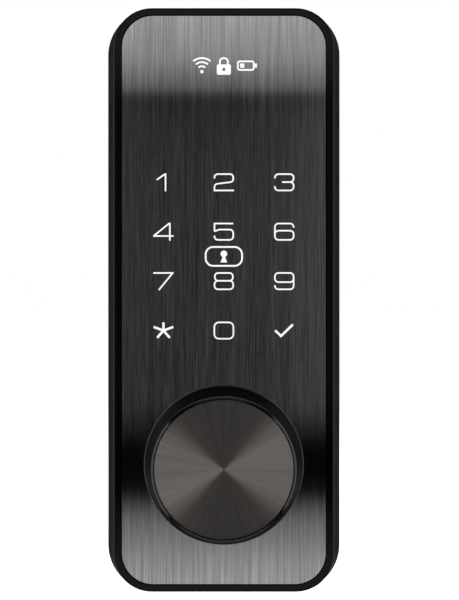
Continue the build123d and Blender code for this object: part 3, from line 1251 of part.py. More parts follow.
def port_flap():
    """The hinged cover over the power socket, flush with the lower wall."""
    body = extrude(port_plane() * Rectangle(FLAP_LENGTH, FLAP_WIDTH), amount=-FLAP_THICK)
    body = fillet(body.faces().sort_by(Axis.X)[-1].edges(), FLAP_EDGE)
    body += flap_pin_bar(FLAP_KNUCKLE, FLAP_WIDTH)
    return body - flap_pin_bar(FLAP_PIN_RADIUS + RUNNING_CLEARANCE, 2 * FLAP_WIDTH)


def flex_circuits():
    """The two flat flexes on the deck: to the port board on the left, to the motor on the right."""
    side = BODY_WIDTH / 2 - flare_at(DECK_BACK) - WALL - FLEX_WIDTH
    low = PINION_Z - MOTOR_HEIGHT / 2 - FLEX_WIDTH
    start = FLEX_START_X + FLEX_PLUG_WIDTH / 2
    port = [(-start, FLEX_START_Z), (-side, FLEX_START_Z), (-side, low), (-PORT_WIDTH / 2, low)]
    motor = [(start, FLEX_START_Z), (side, FLEX_START_Z), (side, PINION_Z - TERMINAL_Z)]
    flexes = [stroke(path, width=FLEX_WIDTH) for path in (port, motor)]
    return joined([slab(flex, DECK_BACK - FLEX_THICK, DECK_BACK) for flex in flexes])


# ---------------------------------------------------------------- assembly
def build_parts():
    """Every sub-part by node name."""
    legends = legend_solids()
    parts = dict(legends)
    parts["front_panel"] = front_panel(legends.values())
    makers = (
        rear_housing, front_bezel, panel_seal, light_baffle, light_guide, keypad_board, backlight_leds,
        board_header, main_board, board_chips, radio_module, buzzer, harness_socket, board_screws,
        body_screws, knob_body, knob_trim_ring, knob_disc, knob_screw, knob_shaft, driver_dog,
        shaft_circlip, shaft_bush, shaft_seal, thrust_washer, knob_surround, clutch_sleeve, spindle_hub,
        tailpiece, tailpiece_pin, spindle_bush, shift_fork, motor_pinion, clutch_motor, motor_strap,
        fork_guide_pin, back_plate, door_gasket, mounting_posts, power_socket, port_board, flap_pin,
        port_flap, flex_circuits, motor_shaft,
    )
    for maker in makers:
        parts[maker.__name__] = maker()
    return parts


os.makedirs("parts", exist_ok=True)
for node, shape in build_parts().items():
    export_step(shape, f"parts/{node}.step")
    print(node, len(shape.solids()))
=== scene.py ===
"""Looks for the outside unit of a keypad smart lock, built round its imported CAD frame.

The frame gives every piece its place and its motion. The classes below dress the pieces, add the
fine detail that the frame leaves out, and set up the studio.
"""

import logging
import math
from dataclasses import dataclass
from enum import Enum

import bmesh
import bpy
from mathutils import Matrix, Vector


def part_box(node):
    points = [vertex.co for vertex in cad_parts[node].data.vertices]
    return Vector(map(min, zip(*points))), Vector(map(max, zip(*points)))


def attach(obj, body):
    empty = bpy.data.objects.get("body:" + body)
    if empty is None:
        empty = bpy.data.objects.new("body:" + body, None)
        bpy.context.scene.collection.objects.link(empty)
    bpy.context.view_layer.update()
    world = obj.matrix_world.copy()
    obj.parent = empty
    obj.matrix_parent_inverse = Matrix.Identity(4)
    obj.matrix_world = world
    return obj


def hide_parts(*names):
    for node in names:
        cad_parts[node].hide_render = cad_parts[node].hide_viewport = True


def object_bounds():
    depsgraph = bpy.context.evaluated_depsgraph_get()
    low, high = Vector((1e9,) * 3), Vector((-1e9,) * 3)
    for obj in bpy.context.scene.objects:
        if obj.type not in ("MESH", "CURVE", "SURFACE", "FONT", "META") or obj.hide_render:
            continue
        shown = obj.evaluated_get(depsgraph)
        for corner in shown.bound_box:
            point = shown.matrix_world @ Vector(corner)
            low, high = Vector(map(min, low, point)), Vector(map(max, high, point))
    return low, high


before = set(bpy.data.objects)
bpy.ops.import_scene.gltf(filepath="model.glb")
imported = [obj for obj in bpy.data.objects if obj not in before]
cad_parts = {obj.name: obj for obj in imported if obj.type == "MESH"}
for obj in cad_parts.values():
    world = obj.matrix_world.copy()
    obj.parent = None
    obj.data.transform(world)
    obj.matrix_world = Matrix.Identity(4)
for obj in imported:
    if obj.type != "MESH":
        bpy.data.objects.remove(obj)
CAD_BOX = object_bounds()

LOG = logging.getLogger("keypad_lock")
MM = 0.001
QUARTER_TURN = 0.25

Colour = tuple[float, float, float, float]
Point = tuple[float, float, float]
Limits = tuple[float, float]
Piece = bpy.types.Object
Mesh = bmesh.types.BMesh
Material = bpy.types.Material
Tree = bpy.types.NodeTree
Node = bpy.types.Node
Socket = bpy.types.NodeSocket
Begun = tuple[Material, Tree, Node, Node]


# ---------------------------------------------------------------- small tools
def to_linear(code: str) -> Colour:
    """Turns an sRGB hex colour into linear values.

    Args:
        code: Six hex digits, with or without a leading "#".

    Returns:
        Red, green, blue and an alpha of 1.
    """
    digits = code.lstrip("#")
    parts = [int(digits[i : i + 2], 16) / 255 for i in (0, 2, 4)]
    linear = [p / 12.92 if p <= 0.04045 else ((p + 0.055) / 1.055) ** 2.4 for p in parts]
    return (linear[0], linear[1], linear[2], 1.0)


def add_node(
    tree: Tree,
    kind: str,
    settings: dict[str, object] | None = None,
    inputs: dict[str | int, object] | None = None,
) -> Node:
    """Adds one node, with its settings, its values and its links.

    Args:
        tree: The node tree that gets it.
        kind: The node's type, without "ShaderNode".
        settings: Properties of the node by name.
        inputs: A value, or an output socket to link from, for each named or numbered input.

    Returns:
        The new node.
    """
    node = tree.nodes.new("ShaderNode" + kind)
    for key, value in (settings or {}).items():
        setattr(node, key, value)
    for key, value in (inputs or {}).items():
        if isinstance(value, Socket):
            tree.links.new(value, node.inputs[key])
        else:
            node.inputs[key].default_value = value
    return node


def mesh_object(name: str, mesh: Mesh, smooth: bool = True) -> Piece:
    """Turns a finished bmesh into an object in the scene.

    Args:
        name: Name of the new piece.
        mesh: The bmesh, in metres. It is freed.
        smooth: Whether its faces are shaded smooth.

    Returns:
        The new object.
    """
    bmesh.ops.recalc_face_normals(mesh, faces=mesh.faces[:])
    data = bpy.data.meshes.new(name)
    mesh.to_mesh(data)
    mesh.free()
    for face in data.polygons:
        face.use_smooth = smooth
    piece = bpy.data.objects.new(name, data)
    bpy.context.scene.collection.objects.link(piece)
    return piece


def turned(name: str, profile: list[tuple[float, float]], steps: int) -> Piece:
    """Turns a closed profile round the spindle's axis.

    Args:
        name: Name of the new piece.
        profile: Radius and depth in front of the door of each point, in millimetres.
        steps: Facets round the axis.

    Returns:
        The new object.
    """
    mesh = bmesh.new()
    rings: list[list[bmesh.types.BMVert]] = []
    for radius, depth in profile:
        if radius == 0.0:
            rings.append([mesh.verts.new((0, -depth * MM, 0))])
            continue
        angles = [2 * math.pi * i / steps for i in range(steps)]
        ring = [(radius * MM * math.cos(a), -depth * MM, radius * MM * math.sin(a)) for a in angles]
        rings.append([mesh.verts.new(p) for p in ring])
    for inner, outer in zip(rings, rings[1:]):
        for i in range(steps):
            corners = [inner[i % len(inner)], outer[i % len(outer)]]
            corners += [outer[(i + 1) % len(outer)], inner[(i + 1) % len(inner)]]
            unique = list(dict.fromkeys(corners))
            if len(unique) > 2:
                mesh.faces.new(unique)
    return mesh_object(name, mesh, False)


def add_block(mesh: Mesh, low: Point, high: Point, bevel: float = 0.0) -> None:
    """Adds a block with small bevels to a bmesh.

    Args:
        mesh: The bmesh that gets it.
        low: One corner, as x, depth and z in millimetres.
        high: The opposite corner.
        bevel: Width of the bevel on every edge, in millimetres.
    """
    corners = [Vector((p[0], -p[1], p[2])) * MM for p in (low, high)]
    size = corners[1] - corners[0]
    place = Matrix.Translation((corners[0] + corners[1]) / 2)
    place @= Matrix.Diagonal((abs(size.x), abs(size.y), abs(size.z), 1.0))
    made = bmesh.ops.create_cube(mesh, size=1.0, matrix=place)
    if bevel > 0.0:
        edges = {edge for vert in made["verts"] for edge in vert.link_edges}
        bmesh.ops.bevel(mesh, geom=list(edges), offset=bevel * MM, segments=1, affect="EDGES")


def add_tube(mesh: Mesh, path: list[Vector], radius: float, sides: int) -> None:
    """Adds a closed tube along a path to a bmesh.

    Args:
        mesh: The bmesh that gets it.
        path: Points along the tube's middle, in metres.
        radius: The tube's radius, in millimetres.
        sides: Facets round the tube.
    """
    rings = []
    for index, point in enumerate(path):
        ahead = path[min(index + 1, len(path) - 1)] - path[max(index - 1, 0)]
        turn = ahead.to_track_quat("Z", "Y")
        angles = [2 * math.pi * i / sides for i in range(sides)]
        offsets = [turn @ Vector((math.cos(a), math.sin(a), 0.0)) * radius * MM for a in angles]
        rings.append([mesh.verts.new(point + offset) for offset in offsets])
    for near, far in zip(rings, rings[1:]):
        for i in range(sides):
            mesh.faces.new((near[i], near[(i + 1) % sides], far[(i + 1) % sides], far[i]))
    mesh.faces.new(rings[0])
    mesh.faces.new(rings[-1])


# ---------------------------------------------------------------- finishes
class Look(Enum):
    """How a pattern lies on a surface."""

    GRAIN_UP = (1.0, 1.0, 0.0)
    EVEN = (1.0, 1.0, 1.0)


@dataclass(frozen=True)
class Finish:
    """A material with the values that all finishes share."""

    name: str
    colour: str
    roughness: float = 0.5
    metallic: float = 0.0

    def begin(self) -> Begun:
        """Starts the material.

        Returns:
            The material, its tree, its shader and its texture coordinates.
        """
        material = bpy.data.materials.new(self.name)
        material.use_nodes = True
        tree = material.node_tree
        tree.nodes.clear()
        values = {
            "Base Color": to_linear(self.colour),
            "Roughness": self.roughness,
            "Metallic": self.metallic,
        }
        shader = add_node(tree, "BsdfPrincipled", None, values)
        add_node(tree, "OutputMaterial", None, {"Surface": shader.outputs[0]})
        coords = add_node(tree, "TexCoord")
        return material, tree, shader, coords

    def make(self) -> Material:
        """Makes the material; each kind of finish adds its own pattern."""
        return self.begin()[0]


@dataclass(frozen=True)
class BrushedSteel(Finish):
    """Steel brushed along Z, under a thin clear lacquer."""

    light_colour: str = "8c8c8c"
    # Real brush lines are under 0.1 mm apart. These are drawn coarser, so that they show.
    line_mm: float = 0.3
    length_mm: float = 24.0
    bundle_mm: float = 1.7
    bundle_share: float = 0.4
    depth_mm: float = 0.02
    gloss_change: float = 0.2
    anisotropic: float = 1.0
    lacquer: float = 1.0
    lacquer_roughness: float = 0.03

    def make(self) -> Material:
        """Draws fine lines and broader bundles of them, all running up the panel.

        Returns:
            The finished material.
        """
        material, tree, shader, coords = self.begin()
        fine = add_node(tree, "Mapping", None, {
            "Vector": coords.outputs["Object"],
            "Scale": (1 / (self.line_mm * MM), 1.0, 1 / (self.length_mm * MM)),
        })
        lines = add_node(tree, "TexNoise", None, {
            "Vector": fine.outputs[0], "Scale": 1.0, "Detail": 2.0, "Roughness": 0.6,
        })
        broad = add_node(tree, "Mapping", None, {
            "Vector": coords.outputs["Object"],
            "Scale": (1 / (self.bundle_mm * MM), 1.0, 1 / (4 * self.length_mm * MM)),
        })
        bundles = add_node(tree, "TexNoise", None, {
            "Vector": broad.outputs[0], "Scale": 1.0, "Detail": 3.0, "Roughness": 0.7,
        })
        both = add_node(tree, "Mix", {"data_type": "FLOAT"}, {
            "Factor": self.bundle_share, "A": lines.outputs[0], "B": bundles.outputs[0],
        })
        spread = add_node(tree, "MapRange", None, {
            "Value": both.outputs[0], "From Min": 0.3, "From Max": 0.7,
        })
        tone = add_node(tree, "Mix", {"data_type": "RGBA"}, {
            "Factor": spread.outputs[0], 6: to_linear(self.colour), 7: to_linear(self.light_colour),
        })
        gloss = add_node(tree, "MapRange", None, {
            "Value": spread.outputs[0],
            "To Min": self.roughness * (1 - self.gloss_change),
            "To Max": self.roughness * (1 + self.gloss_change),
        })
        relief = add_node(tree, "Bump", None, {
            "Height": lines.outputs[0], "Distance": self.depth_mm * MM,
        })
        tree.links.new(tone.outputs[2], shader.inputs["Base Color"])
        tree.links.new(gloss.outputs[0], shader.inputs["Roughness"])
        tree.links.new(relief.outputs[0], shader.inputs["Normal"])
        shader.inputs["Anisotropic"].default_value = self.anisotropic
        shader.inputs["Coat Weight"].default_value = self.lacquer
        shader.inputs["Coat Roughness"].default_value = self.lacquer_roughness
        return material


@dataclass(frozen=True)
class SpunMetal(Finish):
    """Metal faced on a lathe, with rings about the Y axis and a soft fan of light."""

    light_colour: str = "8a8682"
    fan_scale: float = 9.0
    # Real lathe marks are finer. They are drawn coarser, so that they break up the light.
    ring_mm: float = 0.25
    depth_mm: float = 0.002
    anisotropic: float = 0.9

    def make(self) -> Material:
        """Draws fine rings, and slight changes of tone from one angle to the next.

        Returns:
            The finished material.
        """
        material, tree, shader, coords = self.begin()
        place = add_node(tree, "SeparateXYZ", None, {0: coords.outputs["Object"]})
        angle = add_node(tree, "Math", {"operation": "ARCTAN2"}, {
            0: place.outputs["Z"], 1: place.outputs["X"],
        })
        fan = add_node(tree, "TexNoise", {"noise_dimensions": "1D"}, {
            "W": angle.outputs[0], "Scale": self.fan_scale, "Detail": 5.0, "Roughness": 0.75,
        })
        flat = add_node(tree, "VectorMath", {"operation": "MULTIPLY"}, {
            0: coords.outputs["Object"], 1: (1.0, 0.0, 1.0),
        })
        radius = add_node(tree, "VectorMath", {"operation": "LENGTH"}, {0: flat.outputs[0]})
        rings = add_node(tree, "TexNoise", {"noise_dimensions": "1D"}, {
            "W": radius.outputs["Value"], "Scale": 1 / (self.ring_mm * MM), "Detail": 2.0,
        })
        spread = add_node(tree, "MapRange", None, {
            "Value": fan.outputs[0], "From Min": 0.25, "From Max": 0.75,
        })
        tone = add_node(tree, "Mix", {"data_type": "RGBA"}, {
            "Factor": spread.outputs[0], 6: to_linear(self.colour), 7: to_linear(self.light_colour),
        })
        relief = add_node(tree, "Bump", None, {
            "Height": rings.outputs[0], "Distance": self.depth_mm * MM,
        })
        tangent = add_node(tree, "Tangent", {"direction_type": "RADIAL", "axis": "Y"})
        tree.links.new(tone.outputs[2], shader.inputs["Base Color"])
        tree.links.new(relief.outputs[0], shader.inputs["Normal"])
        tree.links.new(tangent.outputs[0], shader.inputs["Tangent"])
        shader.inputs["Anisotropic"].default_value = self.anisotropic
        shader.inputs["Anisotropic Rotation"].default_value = QUARTER_TURN
        return material


@dataclass(frozen=True)
class Textured(Finish):
    """An even material with a fine surface texture and a little change of tone."""

    light_colour: str = ""
    grain_mm: float = 0.3
    depth_mm: float = 0.01
    patch_mm: float = 6.0
    gloss_change: float = 0.12
    look: Look = Look.EVEN
    along_share: float = 0.03
    ior: float = 1.5
    specular: float = 0.5
    sheen: float = 0.0

    def make(self) -> Material:
        """Draws the texture as relief, and the patches as tone and gloss.

        Returns:
            The finished material.
        """
        material, tree, shader, coords = self.begin()
        grain = add_node(tree, "Mapping", None, {
            "Vector": coords.outputs["Object"],
            "Scale": tuple(
                (a + self.along_share) / (self.grain_mm * MM) for a in self.look.value
            ),
        })
        texture = add_node(tree, "TexNoise", None, {
            "Vector": grain.outputs[0], "Scale": 1.0, "Detail": 3.0, "Roughness": 0.6,
        })
        patches = add_node(tree, "TexNoise", None, {
            "Vector": coords.outputs["Object"], "Scale": 1 / (self.patch_mm * MM),
            "Detail": 3.0,
        })
        both = add_node(tree, "Mix", {"data_type": "FLOAT"}, {
            "Factor": 0.5, "A": texture.outputs[0], "B": patches.outputs[0],
        })
        spread = add_node(tree, "MapRange", None, {
            "Value": both.outputs[0], "From Min": 0.35, "From Max": 0.65,
        })
        tone = add_node(tree, "Mix", {"data_type": "RGBA"}, {
            "Factor": spread.outputs[0],
            6: to_linear(self.colour),
            7: to_linear(self.light_colour or self.colour),
        })
        gloss = add_node(tree, "MapRange", None, {
            "Value": patches.outputs[0], "From Min": 0.3, "From Max": 0.7,
            "To Min": self.roughness * (1 - self.gloss_change),
            "To Max": self.roughness * (1 + self.gloss_change),
        })
        relief = add_node(tree, "Bump", None, {
            "Height": texture.outputs[0], "Distance": self.depth_mm * MM,
        })
        tree.links.new(tone.outputs[2], shader.inputs["Base Color"])
        tree.links.new(gloss.outputs[0], shader.inputs["Roughness"])
        tree.links.new(relief.outputs[0], shader.inputs["Normal"])
        if self.metallic < 1.0:
            shader.inputs["IOR"].default_value = self.ior
        shader.inputs["Specular IOR Level"].default_value = self.specular
        shader.inputs["Sheen Weight"].default_value = self.sheen
        return material


@dataclass(frozen=True)
class Laminate(Finish):
    """Circuit board under solder mask, with copper tracks showing through."""

    track_colour: str = "1c6b3f"
    # Real tracks are closer together. They are drawn coarser, as a net that shows from outside.
    cell_mm: float = 2.4
    track_share: float = 0.06
    track_core: float = 0.7
    depth_mm: float = 0.03
    coat: float = 0.4

    def make(self) -> Material:
        """Draws the tracks as a net of thin raised lines.

        Returns:
            The finished material.
        """
        material, tree, shader, coords = self.begin()
        flat = add_node(tree, "VectorMath", {"operation": "MULTIPLY"}, {
            0: coords.outputs["Object"], 1: (1.0, 0.0, 1.0),
        })
        net = add_node(tree, "TexVoronoi", {"feature": "DISTANCE_TO_EDGE"}, {
            "Vector": flat.outputs[0], "Scale": 1 / (self.cell_mm * MM),
        })
        track = add_node(tree, "MapRange", None, {
            "Value": net.outputs["Distance"], "From Min": self.track_share,
            "From Max": self.track_share * self.track_core,
        })
        tone = add_node(tree, "Mix", {"data_type": "RGBA"}, {
            "Factor": track.outputs[0], 6: to_linear(self.colour), 7: to_linear(self.track_colour),
        })
        relief = add_node(tree, "Bump", None, {
            "Height": track.outputs[0], "Distance": self.depth_mm * MM,
        })
        tree.links.new(tone.outputs[2], shader.inputs["Base Color"])
        tree.links.new(relief.outputs[0], shader.inputs["Normal"])
        shader.inputs["Coat Weight"].default_value = self.coat
        return material


@dataclass(frozen=True)
class LitPlastic(Finish):
    """Milky polycarbonate with white light behind it."""

    glow: float = 0.62
    cloud_mm: float = 5.0
    dimmest: float = 0.92
    brightest: float = 1.05

    def make(self) -> Material:
        """Lights it a little unevenly, as light-emitting diodes behind a diffuser do.

        Returns:
            The finished material.
        """
        material, tree, shader, coords = self.begin()
        cloud = add_node(tree, "TexNoise", None, {
            "Vector": coords.outputs["Object"], "Scale": 1 / (self.cloud_mm * MM), "Detail": 2.0,
        })
        glow = add_node(tree, "MapRange", None, {
            "Value": cloud.outputs[0], "From Min": 0.3, "From Max": 0.7,
            "To Min": self.glow * self.dimmest, "To Max": self.glow * self.brightest,
        })
        shader.inputs["Emission Color"].default_value = to_linear("ffffff")
        tree.links.new(glow.outputs[0], shader.inputs["Emission Strength"])
        return material


FINISHES: dict[str, Finish] = {
    # Die-cast zinc under black powder: a fine orange peel breaks up a satin shine.
    "housing_black": Textured(
        "zinc die-casting, black powder coat", "08080a", 0.36, light_colour="0c0c0d", grain_mm=0.5,
        depth_mm=0.006, specular=0.3),
    # Moulded and polished ABS: black with clean reflections.
    "frame_black": Textured(
        "abs, moulded and polished black", "010101", 0.06, light_colour="020202", grain_mm=4.0,
        depth_mm=0.002, ior=1.49, specular=0.12),
    # Stainless steel, vapour-coated black and brushed upright: light smears sideways in bands.
    "panel_brushed": BrushedSteel(
        "stainless steel, black vapour coat, brushed", "5a5a5b", 0.07, 1.0, light_colour="9e9e9e"),
    # Milky polycarbonate with light behind it: an even white glow.
    "legend_white": LitPlastic("polycarbonate, milky, lit from behind", "8c8e8f", 0.35),
    # Black acrylic foam tape: dull, with a faint open texture.
    "adhesive_black": Textured("acrylic foam tape, black", "0b0b0b", 0.8, grain_mm=0.2),
    # Moulded black polycarbonate: satin, to swallow stray light.
    "baffle_black": Textured("polycarbonate, moulded black", "0c0c0c", 0.6, grain_mm=0.25),
    # Frosted acrylic: pale and softly glossy.
    "guide_clear": Textured("acrylic, frosted", "dfe4e6", 0.4, grain_mm=0.15, ior=1.49),
    # Glass and epoxy under green solder mask: glossy, with lighter tracks.
    "board_green": Laminate("glass-epoxy laminate, green solder mask", "0a3d22", 0.32),
    # Polyimide film over copper: amber, smooth and glossy.
    "flex_amber": Textured("polyimide film on copper", "a8651c", 0.3, light_colour="b87424"),
    # Phosphor under silicone: creamy, slightly shiny.
    "led_white": Textured("light-emitting diodes, phosphor", "f0ead0", 0.35, light_colour="f6f0dc"),
    # Moulded epoxy: a fine spark-eroded matt black.
    "chip_black": Textured(
        "epoxy, moulded black", "141416", 0.55, light_colour="1b1b1d", grain_mm=0.12),
    # Moulded ivory nylon: smooth, with a soft shine.
    "connector_ivory": Textured("nylon, moulded ivory", "d8d0bc", 0.45, light_colour="ded8c6"),
    # Moulded black nylon: satin, faintly grained.
    "connector_black": Textured("nylon, moulded black", "131313", 0.5, grain_mm=0.15),
    # Pressed and tin-plated steel: bright, with fine rolling marks.
    "shield_tin": Textured(
        "steel, tin-plated and pressed", "c2c2be", 0.3, 1.0, light_colour="cfcfcb",
        look=Look.GRAIN_UP),
    # Zinc-plated steel: bluish, softly bright.
    "screw_steel": Textured("steel, zinc-plated", "a9abad", 0.32, 1.0, light_colour="b9bbbd"),
    # Turned and black-anodised aluminium: deep black, hardly any shine.
    "knob_black": Textured(
        "aluminium, turned and anodised black", "050506", 0.5, light_colour="080809", grain_mm=0.4,
        depth_mm=0.003, specular=0.02),
    # Diamond-cut and darkened aluminium: a thin line that catches the light.
    "trim_chrome": SpunMetal(
        "aluminium, diamond-cut", "404040", 0.12, 1.0, light_colour="4c4c4c", anisotropic=0.5),
    # Aluminium faced on a lathe and anodised dark: light fans out from the middle.
    "disc_spun": SpunMetal(
        "aluminium, faced and anodised dark", "706b67", 0.4, 1.0, light_colour="827e7a",
        anisotropic=1.0),
    # Satin-anodised aluminium: a soft dark grey edge.
    "surround_grey": Textured(
        "aluminium, satin anodised", "4a4a4c", 0.35, 1.0, light_colour="555556"),
    # Turned steel: fine rings and a clear shine.
    "shaft_steel": SpunMetal("steel, turned", "a5a5a6", 0.3, 1.0, light_colour="b5b5b6"),
    # Sintered bronze: warm and slightly porous.
    "bush_bronze": SpunMetal(
        "bronze, sintered and turned", "a87838", 0.38, 1.0, light_colour="b88844"),
    # Pressed wool felt: dull, with a downy edge.
    "felt_grey": Textured("wool felt, pressed", "55524e", 0.95, light_colour="6a6762", sheen=0.6),
    # Die-cast zinc: cool grey, a little uneven.
    "zinc_grey": Textured("zinc alloy, die-cast", "9a9c9f", 0.45, 1.0, light_colour="a8aaad"),
    # Moulded acetal: waxy off-white.
    "fork_acetal": Textured("acetal, moulded", "dcdad0", 0.4, light_colour="e4e2d8"),
    # Hobbed brass: yellow, with fine cutter marks.
    "pinion_brass": Textured("brass, hobbed", "b8923f", 0.28, 1.0, light_colour="c8a250"),
    # Drawn and nickel-plated steel: warm and mirror-like.
    "motor_nickel": Textured(
        "steel, drawn and nickel-plated", "b0aea8", 0.25, 1.0, light_colour="bcbab4"),
    # Rolled and zinc-plated steel: pale grey, with streaks along the rolling.
    "plate_zinc": Textured(
        "steel, rolled and zinc-plated", "9ea2a6", 0.36, 1.0, light_colour="b2b6ba",
        look=Look.GRAIN_UP),
    # Closed-cell sponge rubber: matt, close to black.
    "gasket_rubber": Textured("rubber, closed-cell sponge", "141415", 0.85, light_colour="1c1c1d"),
    # Gold flashed over nickel: warm and mirror-like in small spots.
    "contact_gold": Textured(
        "brass, nickel-plated and gold-flashed", "d9b45c", 0.2, 1.0, light_colour="e6c573"),
    # Alumina and barium titanate, sintered: a dry tan.
    "ceramic_tan": Textured("ceramic, sintered", "8a6f4d", 0.5, light_colour="9c8260"),
    # Moulded silicone rubber: matt black, with a soft feel.
    "flap_rubber": Textured("silicone rubber, moulded", "161617", 0.6, light_colour="1b1b1c"),
}


class Workshop:
    """Keeps one material for each slot, and dresses pieces with them."""

    def __init__(self) -> None:
        """Makes every material."""
        self.materials = {slot: finish.make() for slot, finish in FINISHES.items()}

    def dress_node(self, name: str) -> None:
        """Gives a CAD node the materials of its slots."""
        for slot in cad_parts[name].material_slots:
            slot.material = self.materials[slot.material.name.split(".")[0]]

    def dress_piece(self, piece: Piece, finish: str, body: str, slot: str = "") -> None:
        """Gives a new piece its material and the body that it rides on.

        Args:
            piece: The new piece, already in place.
            finish: Name of its finish.
            body: The CAD body.
            slot: Not used. The record's material slot, where that isn't the finish's own name.
        """
        piece.data.materials.append(self.materials[finish])
        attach(piece, body)


@dataclass
class Assembly:
    """A group of pieces that are dressed together."""

    shop: Workshop
    nodes: tuple[str, ...] = ()

    def build(self) -> None:
        """Dresses the nodes and adds the detail pieces."""
        for name in self.nodes:
            self.shop.dress_node(name)
            LOG.info("%s: %s dressed", type(self).__name__, name)
        for piece in self.detail():
            LOG.info("%s: %s built", type(self).__name__, piece.name)

    def detail(self) -> list[Piece]:
        """Builds what the CAD leaves out; a plain assembly has none."""
        return []


@dataclass
class Case(Assembly):
    """The flared housing and the glossy frame round the panel."""

    nodes: tuple[str, ...] = ("rear_housing", "front_bezel", "panel_seal", "body_screws")


@dataclass
class TouchPanel(Assembly):
    """The brushed panel with its lit key symbols and pictograms."""

    nodes: tuple[str, ...] = (
        "front_panel", "lock_symbol", "status_symbols", "legend_star", "legend_check",
        *(f"legend_{digit}" for digit in range(10)),
    )


@dataclass
class KeypadStack(Assembly):
    """The touch board behind the panel, with its lights, baffle and light guide."""

    nodes: tuple[str, ...] = (
        "light_guide", "light_baffle", "backlight_leds", "keypad_board", "board_header",
    )
    columns: tuple[float, ...] = (-17.6, 0.0, 17.6)
    rows: tuple[float, ...] = (82.3, 67.9, 53.5, 39.1)
    face: float = 18.8
    pad_width: float = 8.2
    pad_height: float = 5.6
    pad_line: float = 0.5
    copper: float = 0.04

    def detail(self) -> list[Piece]:
        """Lays a gold-plated sensing loop on the board round each key's light.

        Returns:
            The new pieces, dressed and riding on their bodies.
        """
        mesh = bmesh.new()
        high = self.face + self.copper
        for x in self.columns:
            for z in self.rows:
                right, top = self.pad_width / 2, self.pad_height / 2
                for way in (-1, 1):
                    edge = way * (top - self.pad_line)
                    low = (x - right, self.face, z + edge)
                    add_block(mesh, low, (x + right, high, z + way * top))
                    edge = way * (right - self.pad_line)
                    low = (x + edge, self.face, z - top + self.pad_line)
                    add_block(mesh, low, (x + way * right, high, z + top - self.pad_line))
        pads = mesh_object("touch_electrodes", mesh, False)
        self.shop.dress_piece(pads, "contact_gold", "lock_body", "pinion_brass")
        return [pads]


